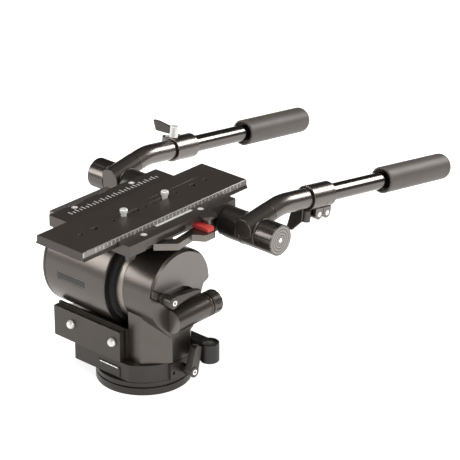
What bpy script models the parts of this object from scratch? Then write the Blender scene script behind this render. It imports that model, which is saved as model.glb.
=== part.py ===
# Fluid video head with two telescopic pan handles.
# Frame: origin at the centre of the base's underside, on the pan axis, +Z up. +Y points to the operator,
# -Y to the lens, and +X to the side with the locks. All lengths are in metres.
import math

import bmesh
import bpy
from mathutils import Matrix, Vector

# Clearances and counts
SEAT = 0.0003
RUN_GAP = 0.0004
OVERRUN = 0.002
ROUND = 36
MEDIUM_ROUND = 20
SMALL_ROUND = 16
FINE_ROUND = 8
TUBE_RESOLUTION = 4
SPRING_RESOLUTION = 1
EDGE_BREAK = 0.0008
WELD = 0.000001

# Base and pan axle
BASE_RADIUS = 0.050
BASE_HEIGHT = 0.0146
BASE_RIM_HEIGHT = 0.0080
BASE_GROOVE_HEIGHT = 0.0016
BASE_GROOVE_DEPTH = 0.0024
BASE_BOLT_REACH = 0.034
BASE_BOLT_RADIUS = 0.0032
BASE_BOLT_DEPTH = 0.0080
BASE_BOLTS = 4
AXLE_RADIUS = 0.0110
AXLE_FOOT_RADIUS = 0.0180
AXLE_FOOT_HEIGHT = 0.0025
AXLE_NUT_RADIUS = 0.0150
AXLE_NUT_HEIGHT = 0.0040
PAN_ROTOR_RADIUS = 0.0360
PAN_ROTOR_HEIGHT = 0.0030
PAN_BEARING_RADIUS = 0.0240
PAN_BEARING_HEIGHT = 0.0070

# Pan housing
PAN_GAP = 0.0014
HOUSING_RADIUS = 0.0520
HOUSING_HEIGHT = 0.0190
HOUSING_FLAT = 0.0466
HOUSING_LEFT = 0.0558
HOUSING_CORNER = 0.0030
CHAMBER_GAP = 0.0015
EAR_PROUD = 0.0010
EAR_FRONT = 0.0155
EAR_REAR = 0.0195
EAR_SINK = 0.0100
EAR_SCREW_RADIUS = 0.0017
EAR_SCREW_DEPTH = 0.0050
WINDOW_LEFT = 0.0197
WINDOW_RIGHT = 0.0115
WINDOW_PROUD = 0.0010
WINDOW_MARGIN = 0.0030

# Tilt axis, tower and the box under the left drum
DRUM_RADIUS = 0.0540
DRUM_BELOW = 0.0235
TOWER_RADIUS = 0.0437
TOWER_LEFT = 0.0143
TOWER_RIGHT = 0.0535
NECK_HALF = 0.0128
NECK_RISE = 0.0275
TOWER_FRONT = 0.0375
TOWER_FRONT_RIGHT = 0.0317
TOWER_BORE = 0.0263
TOWER_BORE_DEPTH = 0.0240
COVER_THICKNESS = 0.0034
COVER_CHAMFER = 0.0025
BOX_LEFT = 0.0816
BOX_RIGHT = 0.0134
BOX_FRONT = 0.0411
BOX_REAR = 0.0380
BOX_HEIGHT = 0.0362
CRADLE_GAP = 0.0022
FRONT_COVER_THICKNESS = 0.0071
FRONT_COVER_HEIGHT = 0.0340
COVER_SCREW_RADIUS = 0.0046
COVER_SCREW_PROUD = 0.0036
COVER_SCREW_SINK = 0.0030
COVER_SCREW_SHANK = 0.0025
COVER_SCREW_LEFT = 0.0260
COVER_SCREW_RIGHT = 0.0100

# Notch in the control side, with its upper and lower edges measured from the tilt axis
NOTCH_DEPTH = 0.0110
NOTCH_UPPER_FRONT = 0.0158
NOTCH_UPPER_MIDDLE = 0.0052
NOTCH_UPPER_REAR = 0.0019
NOTCH_FLOOR_FRONT = 0.0010
NOTCH_FLOOR_REAR = 0.0145
NOTCH_FRONT_BEND = 0.0369
NOTCH_MIDDLE_BEND = 0.0208
NOTCH_REAR_BEND = 0.0105
NOTCH_REAR_END = 0.0228

# Drag barrel, knob and tilt lock
BARREL_RADIUS = 0.0126
BARREL_AXIS_X = 0.0558
BARREL_DROP = 0.0279
BARREL_FRONT = 0.0175
BARREL_LENGTH = 0.0500
BARREL_RING_LENGTH = 0.0085
BARREL_RING_GROOVE = 0.0010
DRAG_KNOB_RADIUS = 0.0124
DRAG_KNOB_LENGTH = 0.0165
DRAG_KNOB_TAPER = 0.0012
DRAG_KNOB_FLUTES = 12
FLUTE_RADIUS = 0.0013
TILT_LOCK_FORWARD = 0.0268
TILT_LOCK_RISE = 0.0014
TILT_LOCK_SHAFT_RADIUS = 0.0042
TILT_LOCK_SINK = 0.0020
TILT_LOCK_BLOCK = 0.0090
TILT_LOCK_HUB_RADIUS = 0.0060
TILT_LOCK_HUB_LEFT = 0.0575
TILT_LOCK_HUB_LENGTH = 0.0130
TILT_LOCK_ARM_LENGTH = 0.0400
TILT_LOCK_ARM_HALF = 0.0040
TILT_LOCK_ARM_THICKNESS = 0.0070

# Pan lock lever and level
PAN_LOCK_REAR = 0.0020
PAN_LOCK_RISE = 0.0085
PAN_LOCK_HUB_RADIUS = 0.0058
PAN_LOCK_HUB_LENGTH = 0.0172
PAN_LOCK_ARM_LENGTH = 0.0270
PAN_LOCK_ARM_HALF = 0.0066
PAN_LOCK_ARM_THICKNESS = 0.0080
PAN_LOCK_LEAN_DEG = 8.0
PAN_LOCK_STUD_RADIUS = 0.0030
PAN_LOCK_STUD_LENGTH = 0.0060
LEVEL_OUT = 0.0170
LEVEL_Y = 0.0255
LEVEL_TOP_RISE = 0.0150
LEVEL_RADIUS = 0.0100
LEVEL_HEIGHT = 0.0210
LEVEL_CUP_RADIUS = 0.0074
LEVEL_CUP_DEPTH = 0.0060
LEVEL_GLASS_HEIGHT = 0.0045
LEVEL_ARM_HALF = 0.0070
LEVEL_ARM_HEIGHT = 0.0100

# Tilting drum and what it holds
DRUM_LEFT = 0.0900
DRUM_RIGHT = 0.0017
DRUM_WALL = 0.0050
DRUM_WEB = 0.0060
DRUM_RIM = 0.0010
CAP_THICKNESS = 0.0030
CAP_SPIGOT = 0.0030
CAP_HUB_RADIUS = 0.0150
CAP_HUB_LENGTH = 0.0100
SADDLE_LEFT = 0.0560
SADDLE_RIGHT = 0.0090
SADDLE_HALF = 0.0400
PLATFORM_CLEARANCE = 0.0048
NAMEPLATE_LEFT = 0.0680
NAMEPLATE_RIGHT = 0.0280
NAMEPLATE_HEIGHT = 0.0095
NAMEPLATE_DROP = 0.0020
NAMEPLATE_DEPTH = 0.0012
DIAL_RADIUS = 0.0230
DIAL_THICKNESS = 0.0080
TILT_AXLE_RADIUS = 0.0090
SLEEVE_RADIUS = 0.0150
SLEEVE_LENGTH = 0.0420
GAP_RING_RADIUS = 0.0484
BEZEL_LENGTH = 0.0092
TILT_BEARING_THICKNESS = 0.0075
TILT_ROTOR_RADIUS = 0.0240
TILT_ROTOR_THICKNESS = 0.0070
SPRING_RADIUS = 0.0260
SPRING_WIRE = 0.0030
SPRING_TURNS = 7
SPRING_POINTS = 8
SPRING_END_GAP = 0.0006

# Platform
PLATFORM_CENTRE = -0.0076
PLATFORM_HALF = 0.0564
PLATFORM_FRONT = 0.0672
PLATFORM_REAR = 0.0883
PLATFORM_THICKNESS = 0.0117
FLANGE_THICKNESS = 0.0034
FLANGE_STEP_FRONT = 0.0445
FLANGE_STEP_REAR = 0.0560
FLANGE_STEP_X = 0.0375
LUG_X = 0.0515
LUG_Y = 0.0415
LUG_RADIUS = 0.0095
FOOT_WIDTH = 0.0080
FOOT_DROP = 0.0055
FOOT_LENGTH = 0.0100
EDGE_SLIT_DEPTH = 0.0016
EDGE_SLIT_FRONT = 0.0410
EDGE_SLIT_LENGTH = 0.0240
EDGE_SLIT_REAR = 0.0020
EDGE_SLIT_REAR_LENGTH = 0.0140
PLATFORM_SCREW_X = 0.0465
PLATFORM_SCREW_FRONT = 0.0364
PLATFORM_SCREW_REAR = 0.0459
PLATFORM_SCREW_RADIUS = 0.0034
PLATFORM_SCREW_DEPTH = 0.0026
RAIL_BAR_WIDTH = 0.0088
RAIL_BAR_FRONT = 0.0580
RAIL_BAR_REAR = 0.0240
RAIL_BAR_HEIGHT = 0.0100
RAIL_BAR_TOP_DROP = 0.0010

# Camera plate
PLATE_HALF = 0.03175
PLATE_THICKNESS = 0.0094
PLATE_PROUD = 0.0046
PLATE_LENGTH = 0.2380
PLATE_CENTRE = 0.0048
DOVETAIL = 0.0016
DOVETAIL_HEIGHT = 0.0034
DOVETAIL_FOOT = 0.0008
PLATE_SLOT_NEAR = 0.0120
PLATE_SLOT_FAR = 0.0300
PLATE_SLOT_RADIUS = 0.0033
PLATE_SLOT_UNDERCUT_RADIUS = 0.0056
PLATE_SLOT_UNDERCUT_DEPTH = 0.0030
PLATE_SMALL_HOLE_RADIUS = 0.0022
PLATE_LARGE_HOLE_RADIUS = 0.0033
PLATE_HOLE_MIDDLE = 0.0450
PLATE_HOLE_LARGE = 0.0710
PLATE_HOLE_END = 0.0900
CAMERA_SCREW_SHANK = 0.0029
CAMERA_SCREW_HEAD = 0.0050
CAMERA_SCREW_HEAD_HEIGHT = 0.0022
CAMERA_SCREW_RISE = 0.0066
CAMERA_SCREW_CAP = 0.0038
CAMERA_SCREW_CAP_HEIGHT = 0.0034
STOP_PIN_RADIUS = 0.0016
STOP_PIN_LENGTH = 0.0080
STOP_PIN_INSET = 0.0040

# Side clamp
JAW_WIDTH = 0.0030
JAW_FRONT = 0.0147
JAW_REAR = 0.0381
JAW_SINK = 0.0002
JAW_TRAVEL = 0.0007
CLAMP_LEVER_THICKNESS = 0.0072
CLAMP_LEVER_GAP = 0.0013
CLAMP_HUB_RADIUS = 0.0085
CLAMP_HUB_RISE = 0.0020
RELEASE_LENGTH = 0.0225
RELEASE_WIDTH = 0.0092
RELEASE_HEIGHT = 0.0046
RELEASE_FRONT = 0.0290
RELEASE_LEFT = 0.0405

# Handle mount
HANDLE_BACK = 0.0744
HANDLE_DROP = 0.0082
BOSS_RADIUS = 0.0140
BOSS_INNER = 0.0450
BOSS_FLARE_START = 0.0620
BOSS_FLARE_LENGTH = 0.0080
BOSS_END = 0.0822
ROSETTE_RADIUS = 0.0200
ROSETTE_TOOTH = 0.0010
BOSS_FOOT_INNER = 0.0130
BOSS_FOOT_HALF = 0.0130
BOSS_FOOT_DEPTH = 0.0200
HUB_NECK_RADIUS = 0.0165
HUB_LENGTH = 0.0232
HUB_FLANGE = 0.0050
STUD_RADIUS = 0.0040
KNOB_RADIUS = 0.0162
KNOB_LENGTH = 0.0226
KNOB_FLATS = 6
KNOB_FLUTE_RADIUS = 0.0036
KNOB_FLUTE_DEPTH = 0.0012
KNOB_FACE_RECESS = 0.0008
KNOB_SCREW_RADIUS = 0.0028

# Telescopic handle, measured along the tube from its bend
BEND_BACK = 0.1129
BEND_RISE = 0.0085
BEND_OUT = 0.0950
RISE_DEG = 8.8
DROP_DEG = 8.7
SPLAY_DEG = 1.4
BEND_REACH = 0.0090
BEND_STEPS = 4
TUBE_RADIUS = 0.0107
TUBE_BORE = 0.0096
SOCKET_RADIUS = 0.0109
SOCKET_END = 0.0570
SOCKET_START = 0.0183
SPIGOT_RADIUS = 0.0090
SPIGOT_LENGTH = 0.0060
COLLAR_START = 0.0393
COLLAR_LENGTH = 0.0336
COLLAR_RADIUS = 0.0132
COLLAR_BORE = 0.0110
COLLAR_STEP = 0.0190
COLLAR_SLIT = 0.0008
COLLAR_SLIT_PLACE = 0.0220
INNER_RADIUS = 0.0091
INNER_START = 0.0460
GRIP_START = 0.1534
GRIP_LENGTH = 0.1200
GRIP_RADIUS = 0.0143
GRIP_MOUTH_RADIUS = 0.0122
GRIP_MOUTH_DEPTH = 0.0050
GRIP_END_ROUND = 0.0080
GRIP_HOLD = 0.0800
LUG_PLATE_RADIUS = 0.0052
LUG_PLATE_THICKNESS = 0.0120
COLLAR_LUG_DROP = 0.0190
COLLAR_LUG_FRONT = 0.0145
COLLAR_LUG_REAR = 0.0275
LEVER_BARREL_RADIUS = 0.0047
LEVER_BARREL_HEIGHT = 0.0130
LEVER_WING_WIDTH = 0.0120
LEVER_WING_THICKNESS = 0.0030
LEVER_WING_LENGTH_RIGHT = 0.0210
LEVER_WING_LENGTH_LEFT = 0.0130

# Heights that follow from the stack
HOUSING_BOTTOM = BASE_HEIGHT + PAN_GAP
HOUSING_TOP = HOUSING_BOTTOM + HOUSING_HEIGHT
YOKE_BOTTOM = HOUSING_TOP + SEAT
TILT_RISE = DRUM_BELOW + DRUM_RADIUS
TILT_Z = HOUSING_TOP + TILT_RISE
PLATFORM_BOTTOM = TILT_Z + DRUM_RADIUS + PLATFORM_CLEARANCE
PLATFORM_TOP = PLATFORM_BOTTOM + PLATFORM_THICKNESS
PLATE_TOP = PLATFORM_TOP + PLATE_PROUD
PLATE_BOTTOM = PLATE_TOP - PLATE_THICKNESS
CHANNEL_FLOOR = PLATE_BOTTOM - SEAT
HANDLE_Z = PLATFORM_BOTTOM - HANDLE_DROP
EAR_FACE = HOUSING_RADIUS + EAR_PROUD
EAR_ROOT = HOUSING_RADIUS - EAR_SINK
LEVEL_X = HOUSING_RADIUS + LEVEL_OUT
TILT_AXIS = Vector((0, 0, TILT_Z))
RIGHT = 1
LEFT = -1


def clear_scene():
    for old in list(bpy.data.objects):
        bpy.data.objects.remove(old)


clear_scene()
parts = bpy.data.collections.new("fluid_video_head")
tools = bpy.data.collections.new("fluid_video_head_cutters")
bpy.context.scene.collection.children.link(parts)
bpy.context.scene.collection.children.link(tools)

TURNS = {
    "X": Matrix.Rotation(math.radians(90), 4, "Y"),
    "Y": Matrix.Rotation(math.radians(-90), 4, "X"),
    "Z": Matrix.Identity(4),
}


def finish(name, colour, roughness, metallic):
    """Return the Principled material of that name, made on first use."""
    found = bpy.data.materials.get(name)
    if found:
        return found
    made = bpy.data.materials.new(name)
    made.use_nodes = True
    shader = made.node_tree.nodes["Principled BSDF"]
    shader.inputs["Base Color"].default_value = (*colour, 1)
    shader.inputs["Roughness"].default_value = roughness
    shader.inputs["Metallic"].default_value = metallic
    made.diffuse_color = (*colour, 1)
    return made


def satin_grey():
    return finish("satin_grey_paint", (0.13, 0.12, 0.11), 0.42, 0.6)


def dark_paint():
    return finish("dark_paint", (0.035, 0.031, 0.028), 0.5, 0.3)


def light_face():
    return finish("light_grey_face", (0.27, 0.25, 0.23), 0.5, 0.5)


def black_plastic():
    return finish("black_plastic", (0.012, 0.011, 0.010), 0.45, 0.0)


def bright_steel():
    return finish("bright_steel", (0.72, 0.71, 0.69), 0.22, 1.0)


def black_tube():
    return finish("black_anodised_tube", (0.03, 0.028, 0.026), 0.18, 0.8)


def foam():
    return finish("grip_foam", (0.11, 0.10, 0.09), 0.8, 0.0)


def red_plastic():
    return finish("red_plastic", (0.48, 0.05, 0.05), 0.4, 0.0)


def vial_glass():
    return finish("vial_glass", (0.55, 0.62, 0.35), 0.1, 0.0)


def add(name, mesh, material=None, matrix=None):
    """Link a mesh as a part, or as a hidden tool where it has no material."""
    made = bpy.data.objects.new(name, mesh)
    if matrix is not None:
        made.matrix_world = matrix
    if material is None:
        tools.objects.link(made)
        made.hide_render = True
        made.display_type = "WIRE"
    else:
        parts.objects.link(made)
        mesh.materials.append(material)
        mesh.shade_smooth()
        mesh.set_sharp_from_angle(angle=math.radians(32))
    return made


def area_sign(outline):
    total = 0.0
    for (ax, ay), (bx, by) in zip(outline, outline[1:] + outline[:1]):
        total += ax * by - bx * ay
    return total


def turned(name, outline, place, axis, material=None, steps=ROUND, ring=False, turn=None):
    """Turn an outline of (radius, height) points about the axis with a Screw modifier."""
    points = list(outline)
    if area_sign(points) > 0:
        points.reverse()
    mesh = bpy.data.meshes.new(name)
    count = len(points)
    edges = [(i, i + 1) for i in range(count - 1)]
    if ring:
        edges.append((count - 1, 0))
    mesh.from_pydata([(r, 0, h) for r, h in points], edges, [])
    matrix = Matrix.Translation(place) @ (turn if turn is not None else TURNS[axis])
    made = add(name, mesh, material, matrix)
    screw = made.modifiers.new("turn", "SCREW")
    screw.axis = "Z"
    screw.angle = math.tau
    screw.steps = steps
    screw.render_steps = steps
    screw.use_merge_vertices = True
    screw.merge_threshold = WELD
    screw.use_smooth_shade = True
    return made


def rod(radius, low, high, edge=0.0):
    """Outline of a solid round bar, from the axis out and back, with broken edges."""
    if edge:
        return [(0, high), (radius - edge, high), (radius, high - edge), (radius, low + edge),
                (radius - edge, low), (0, low)]
    return [(0, high), (radius, high), (radius, low), (0, low)]


def ring_outline(bore, radius, low, high, edge=0.0):
    """Outline of a ring with broken outer edges."""
    if edge:
        return [(bore, high), (radius - edge, high), (radius, high - edge), (radius, low + edge),
                (radius - edge, low), (bore, low)]
    return [(bore, high), (radius, high), (radius, low), (bore, low)]


def box(name, low, high, material=None, edge=0.0, matrix=None):
    """A block between two corners, with its edges broken by a Bevel modifier."""
    low = Vector(low)
    high = Vector(high)
    shape = bmesh.new()
    bmesh.ops.create_cube(shape, size=1)
    bmesh.ops.scale(shape, vec=high - low, verts=shape.verts)
    mesh = bpy.data.meshes.new(name)
    shape.to_mesh(mesh)
    shape.free()
    place = Matrix.Translation((low + high) / 2)
    made = add(name, mesh, material, matrix @ place if matrix is not None else place)
    if edge:
        break_edges(made, edge)
    return made


def break_edges(made, width, angle=35):
    bevel = made.modifiers.new("edges", "BEVEL")
    bevel.width = width
    bevel.segments = 1
    bevel.limit_method = "ANGLE"
    bevel.angle_limit = math.radians(angle)
    bevel.use_clamp_overlap = True
    return bevel


def mesh_of(curve_object, name, flat_ends=False):
    """The closed mesh of a curve object, with its caps welded; the curve is removed."""
    bpy.context.view_layer.update()
    graph = bpy.context.evaluated_depsgraph_get()
    mesh = bpy.data.meshes.new_from_object(curve_object.evaluated_get(graph))
    mesh.name = name
    mesh.materials.clear()
    shape = bmesh.new()
    shape.from_mesh(mesh)
    bmesh.ops.remove_doubles(shape, verts=shape.verts, dist=WELD)
    if flat_ends:
        bmesh.ops.dissolve_limit(shape, angle_limit=math.radians(1), verts=shape.verts, edges=shape.edges)
    bmesh.ops.recalc_face_normals(shape, faces=shape.faces)
    shape.to_mesh(mesh)
    shape.free()
    bpy.data.objects.remove(curve_object)
    return mesh


def prism(name, outline, low, high, axis="Z", material=None, matrix=None, edge=0.0):
    """A flat outline given thickness from low to high along the axis.

    The outline is in (X, Y) for Z, in (Y, Z) for X and in (X, Z) for Y.
    """
    curve = bpy.data.curves.new(name, "CURVE")
    curve.dimensions = "2D"
    curve.fill_mode = "BOTH"
    curve.extrude = (high - low) / 2
    spline = curve.splines.new("POLY")
    spline.points.add(len(outline) - 1)
    for point, (across, along) in zip(spline.points, outline):
        point.co = (across, along, 0, 1)
    spline.use_cyclic_u = True
    flat = bpy.data.objects.new(name, curve)
    parts.objects.link(flat)
    mesh = mesh_of(flat, name, flat_ends=True)
    middle = (low + high) / 2
    frames = {
        "Z": Matrix(((1, 0, 0, 0), (0, 1, 0, 0), (0, 0, 1, middle), (0, 0, 0, 1))),
        "X": Matrix(((0, 0, 1, middle), (1, 0, 0, 0), (0, 1, 0, 0), (0, 0, 0, 1))),
        "Y": Matrix(((1, 0, 0, 0), (0, 0, -1, middle), (0, 1, 0, 0), (0, 0, 0, 1))),
    }
    frame = frames[axis]
    made = add(name, mesh, material, matrix @ frame if matrix is not None else frame)
    if edge:
        break_edges(made, edge)
    return made


def tube(name, points, radius, material=None, resolution=TUBE_RESOLUTION):
    """A round bar along the points, as a curve with filled caps, made a mesh."""
    curve = bpy.data.curves.new(name, "CURVE")
    curve.dimensions = "3D"
    curve.bevel_depth = radius
    curve.bevel_resolution = resolution
    curve.use_fill_caps = True
    curve.resolution_u = 1
    curve.render_resolution_u = 0
    spline = curve.splines.new("POLY")
    spline.points.add(len(points) - 1)
    for point, place in zip(spline.points, points):
        point.co = (*place, 1)
    bar = bpy.data.objects.new(name, curve)
    parts.objects.link(bar)
    return add(name, mesh_of(bar, name), material)


def combine(target, others, operation):
    for number, other in enumerate(others):
        step = target.modifiers.new(f"{operation.lower()}_{number}", "BOOLEAN")
        step.operation = operation
        step.object = other
        step.solver = "EXACT"
    return target


def join(target, *others):
    return combine(target, others, "UNION")


def cut(target, *others):
    return combine(target, others, "DIFFERENCE")


def keep(target, *others):
    return combine(target, others, "INTERSECT")


def arc(centre, radius, start_deg, end_deg, steps):
    """Points on an arc, in the plane of the outline."""
    found = []
    for number in range(steps + 1):
        angle = math.radians(start_deg + (end_deg - start_deg) * number / steps)
        found.append((centre[0] + radius * math.cos(angle), centre[1] + radius * math.sin(angle)))
    return found


def mirrored(outline):
    return [(-a, b) for a, b in reversed(outline)]


def base():
    groove = BASE_RADIUS - BASE_GROOVE_DEPTH
    rim = BASE_RIM_HEIGHT
    upper = rim + BASE_GROOVE_HEIGHT
    outline = [
        (0, BASE_HEIGHT),
        (BASE_RADIUS - EDGE_BREAK, BASE_HEIGHT),
        (BASE_RADIUS, BASE_HEIGHT - EDGE_BREAK),
        (BASE_RADIUS, upper),
        (groove, upper),
        (groove, rim),
        (BASE_RADIUS, rim),
        (BASE_RADIUS, EDGE_BREAK),
        (BASE_RADIUS - EDGE_BREAK, 0),
        (0, 0),
    ]
    flange = turned("base_flange", outline, (0, 0, 0), "Z", dark_paint())
    for number in range(BASE_BOLTS):
        angle = math.tau * (number + 0.5) / BASE_BOLTS
        place = (BASE_BOLT_REACH * math.cos(angle), BASE_BOLT_REACH * math.sin(angle), 0)
        hole = rod(BASE_BOLT_RADIUS, -OVERRUN, BASE_BOLT_DEPTH)
        cut(flange, turned(f"bolt_hole_{number}", hole, place, "Z", steps=FINE_ROUND))
    return flange


def pan_stack():
    """Axle, drag rotor and the two pan bearings."""
    foot = BASE_HEIGHT + SEAT
    shoulder = foot + AXLE_FOOT_HEIGHT
    top = YOKE_BOTTOM + 2 * PAN_BEARING_HEIGHT
    bore = AXLE_RADIUS + SEAT
    outline = [
        (0, top + AXLE_NUT_HEIGHT),
        (AXLE_NUT_RADIUS, top + AXLE_NUT_HEIGHT),
        (AXLE_NUT_RADIUS, top),
        (AXLE_RADIUS, top),
        (AXLE_RADIUS, shoulder),
        (AXLE_FOOT_RADIUS, shoulder),
        (AXLE_FOOT_RADIUS, foot),
        (0, foot),
    ]
    turned("pan_axle", outline, (0, 0, 0), "Z", bright_steel(), SMALL_ROUND)
    rotor_low = shoulder + SEAT
    rotor = ring_outline(bore, PAN_ROTOR_RADIUS, rotor_low, rotor_low + PAN_ROTOR_HEIGHT)
    turned("pan_drag_rotor", rotor, (0, 0, 0), "Z", bright_steel(), SMALL_ROUND, ring=True)
    low = rotor_low + PAN_ROTOR_HEIGHT + SEAT
    lower = ring_outline(bore, PAN_BEARING_RADIUS, low, low + PAN_BEARING_HEIGHT)
    turned("pan_bearing_lower", lower, (0, 0, 0), "Z", bright_steel(), SMALL_ROUND, ring=True)
    high = top - SEAT
    upper = ring_outline(bore, PAN_BEARING_RADIUS, high - PAN_BEARING_HEIGHT, high)
    turned("pan_bearing_upper", upper, (0, 0, 0), "Z", bright_steel(), SMALL_ROUND, ring=True)
    return low, high


def pan_housing(bearing_low):
    """Round band with a flat front, a left arm, a clamp ear and the scale window."""
    band = turned("pan_housing", rod(HOUSING_RADIUS, HOUSING_BOTTOM, HOUSING_TOP, EDGE_BREAK),
                  (0, 0, 0), "Z", dark_paint())
    reach = HOUSING_RADIUS + OVERRUN
    slab = box("housing_flats", (-reach, -HOUSING_FLAT, HOUSING_BOTTOM - OVERRUN),
               (reach, HOUSING_FLAT, HOUSING_TOP + OVERRUN))
    keep(band, slab)
    arm = box("housing_arm", (-HOUSING_LEFT, -HOUSING_FLAT, HOUSING_BOTTOM),
              (0, HOUSING_FLAT, HOUSING_TOP), edge=HOUSING_CORNER)
    ear = box("housing_ear", (EAR_ROOT, -EAR_FRONT, HOUSING_BOTTOM),
              (EAR_FACE, EAR_REAR, HOUSING_TOP - EDGE_BREAK), edge=EDGE_BREAK)
    window_low = HOUSING_BOTTOM + WINDOW_PROUD
    window_high = HOUSING_TOP - 2 * WINDOW_MARGIN
    window = box("housing_window", (-WINDOW_LEFT, -HOUSING_FLAT - WINDOW_PROUD, window_low),
                 (WINDOW_RIGHT, -HOUSING_FLAT + OVERRUN, window_high))
    join(band, arm, ear, window)
    chamber_top = bearing_low + SEAT
    chamber = rod(PAN_ROTOR_RADIUS + CHAMBER_GAP, HOUSING_BOTTOM - OVERRUN, chamber_top)
    seat = rod(PAN_BEARING_RADIUS + SEAT, HOUSING_BOTTOM, bearing_low + PAN_BEARING_HEIGHT + SEAT)
    through = rod(AXLE_RADIUS + CHAMBER_GAP, HOUSING_BOTTOM, HOUSING_TOP + OVERRUN)
    cut(band, turned("rotor_chamber", chamber, (0, 0, 0), "Z", steps=SMALL_ROUND),
        turned("lower_bearing_seat", seat, (0, 0, 0), "Z", steps=SMALL_ROUND),
        turned("axle_passage", through, (0, 0, 0), "Z", steps=SMALL_ROUND))
    slot_low = window_high - WINDOW_MARGIN
    slot = box("window_slot",
               (-WINDOW_LEFT + WINDOW_MARGIN, -HOUSING_FLAT - 2 * OVERRUN, slot_low),
               (WINDOW_RIGHT - WINDOW_MARGIN, -HOUSING_FLAT + WINDOW_PROUD, slot_low + WINDOW_PROUD))
    screw_place = (EAR_FACE, -EAR_FRONT + WINDOW_MARGIN + EAR_SCREW_RADIUS,
                   HOUSING_BOTTOM + HOUSING_HEIGHT / 3)
    screw = turned("ear_screw_hole", rod(EAR_SCREW_RADIUS, -EAR_SCREW_DEPTH, OVERRUN), screw_place,
                   "X", steps=SMALL_ROUND)
    stud = turned("pan_lock_hole", rod(PAN_LOCK_STUD_RADIUS + SEAT, -PAN_LOCK_STUD_LENGTH - 2 * SEAT,
                                       OVERRUN), pan_lock_place(), "X", steps=SMALL_ROUND)
    cut(band, slot, screw, stud)
    return band


def bulb_outline():
    """Side view of the tower: a round head that runs straight down into a narrow neck."""
    neck = math.hypot(NECK_HALF, TILT_RISE - NECK_RISE)
    spread = math.degrees(math.acos(TOWER_RADIUS / neck))
    below = math.degrees(math.atan2(TILT_RISE - NECK_RISE, NECK_HALF))
    start = spread - below
    outline = [(NECK_HALF, YOKE_BOTTOM), (NECK_HALF, HOUSING_TOP + NECK_RISE)]
    outline += arc((0, TILT_Z), TOWER_RADIUS, start, 180 - start, ROUND - ROUND // 4)
    outline += [(-NECK_HALF, HOUSING_TOP + NECK_RISE), (-NECK_HALF, YOKE_BOTTOM)]
    return outline


def notch_outline():
    """Slanted notch of the control side, in (Y, Z)."""
    edge = TOWER_RADIUS + 2 * OVERRUN
    z = TILT_Z
    slope = (NOTCH_UPPER_FRONT - NOTCH_UPPER_MIDDLE) / (NOTCH_FRONT_BEND - NOTCH_MIDDLE_BEND)
    run_out = (edge - NOTCH_FRONT_BEND) * slope
    return [
        (-edge, z + NOTCH_UPPER_FRONT + run_out),
        (-NOTCH_FRONT_BEND, z + NOTCH_UPPER_FRONT),
        (-NOTCH_MIDDLE_BEND, z + NOTCH_UPPER_MIDDLE),
        (NOTCH_REAR_BEND, z + NOTCH_UPPER_REAR),
        (NOTCH_REAR_END, z - NOTCH_UPPER_MIDDLE),
        (NOTCH_REAR_END, z - NOTCH_FLOOR_REAR),
        (-NOTCH_MIDDLE_BEND, z - NOTCH_FLOOR_REAR),
        (-edge, z + NOTCH_FLOOR_FRONT),
    ]


def yoke(bearing_high):
    """One casting: tower with the fixed right drum, and the box under the left drum."""
    head = prism("yoke", bulb_outline(), TOWER_LEFT, TOWER_RIGHT, "X", satin_grey())
    half = [(TOWER_LEFT, -TOWER_FRONT), (TOWER_FRONT_RIGHT, -TOWER_FRONT), (TOWER_RIGHT, -NECK_HALF)]
    plan = half + [(x, -y) for x, y in reversed(half)]
    inner_top = TILT_Z - TOWER_RADIUS * 2 / 5
    pillar = prism("tower_pillar", plan, YOKE_BOTTOM, inner_top, "Z")
    body = box("under_box", (-BOX_LEFT, -BOX_FRONT, YOKE_BOTTOM),
               (TOWER_LEFT + OVERRUN, BOX_REAR, HOUSING_TOP + BOX_HEIGHT), edge=EDGE_BREAK)
    cradle = turned("cradle", rod(DRUM_RADIUS + CRADLE_GAP, -BOX_LEFT - OVERRUN, TOWER_LEFT),
                    TILT_AXIS, "X")
    cut(body, cradle)
    join(head, pillar, body)
    bore = turned("tower_bore", rod(TOWER_BORE, TOWER_LEFT - OVERRUN, TOWER_LEFT + TOWER_BORE_DEPTH),
                  TILT_AXIS, "X", steps=MEDIUM_ROUND)
    cover_seat = TOWER_RIGHT - COVER_THICKNESS + SEAT
    reach = TOWER_RADIUS + OVERRUN
    upper_face = box("cover_seat", (cover_seat, -reach, TILT_Z - NOTCH_UPPER_MIDDLE - SEAT),
                     (TOWER_RIGHT + OVERRUN, reach, TILT_Z + reach))
    notch = prism("control_notch", notch_outline(), TOWER_RIGHT - NOTCH_DEPTH,
                  TOWER_RIGHT + OVERRUN, "X")
    barrel_rear = BARREL_FRONT + OVERRUN
    barrel = turned("barrel_seat", rod(BARREL_RADIUS + SEAT, -BARREL_FRONT - SEAT,
                                       BARREL_LENGTH + barrel_rear), barrel_place(), "Y",
                    steps=MEDIUM_ROUND)
    pocket_top = bearing_high + AXLE_NUT_HEIGHT + CHAMBER_GAP
    pocket = turned("axle_pocket", rod(PAN_BEARING_RADIUS + SEAT, YOKE_BOTTOM - OVERRUN, pocket_top),
                    (0, 0, 0), "Z", steps=SMALL_ROUND)
    shaft = turned("tilt_lock_hole", rod(TILT_LOCK_SHAFT_RADIUS + SEAT, -TILT_LOCK_SINK - SEAT, OVERRUN),
                   (TOWER_RIGHT - NOTCH_DEPTH, -TILT_LOCK_FORWARD, TILT_Z + TILT_LOCK_RISE), "X",
                   steps=SMALL_ROUND)
    cut(head, bore, upper_face, notch, barrel, pocket, shaft)
    return head


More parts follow.
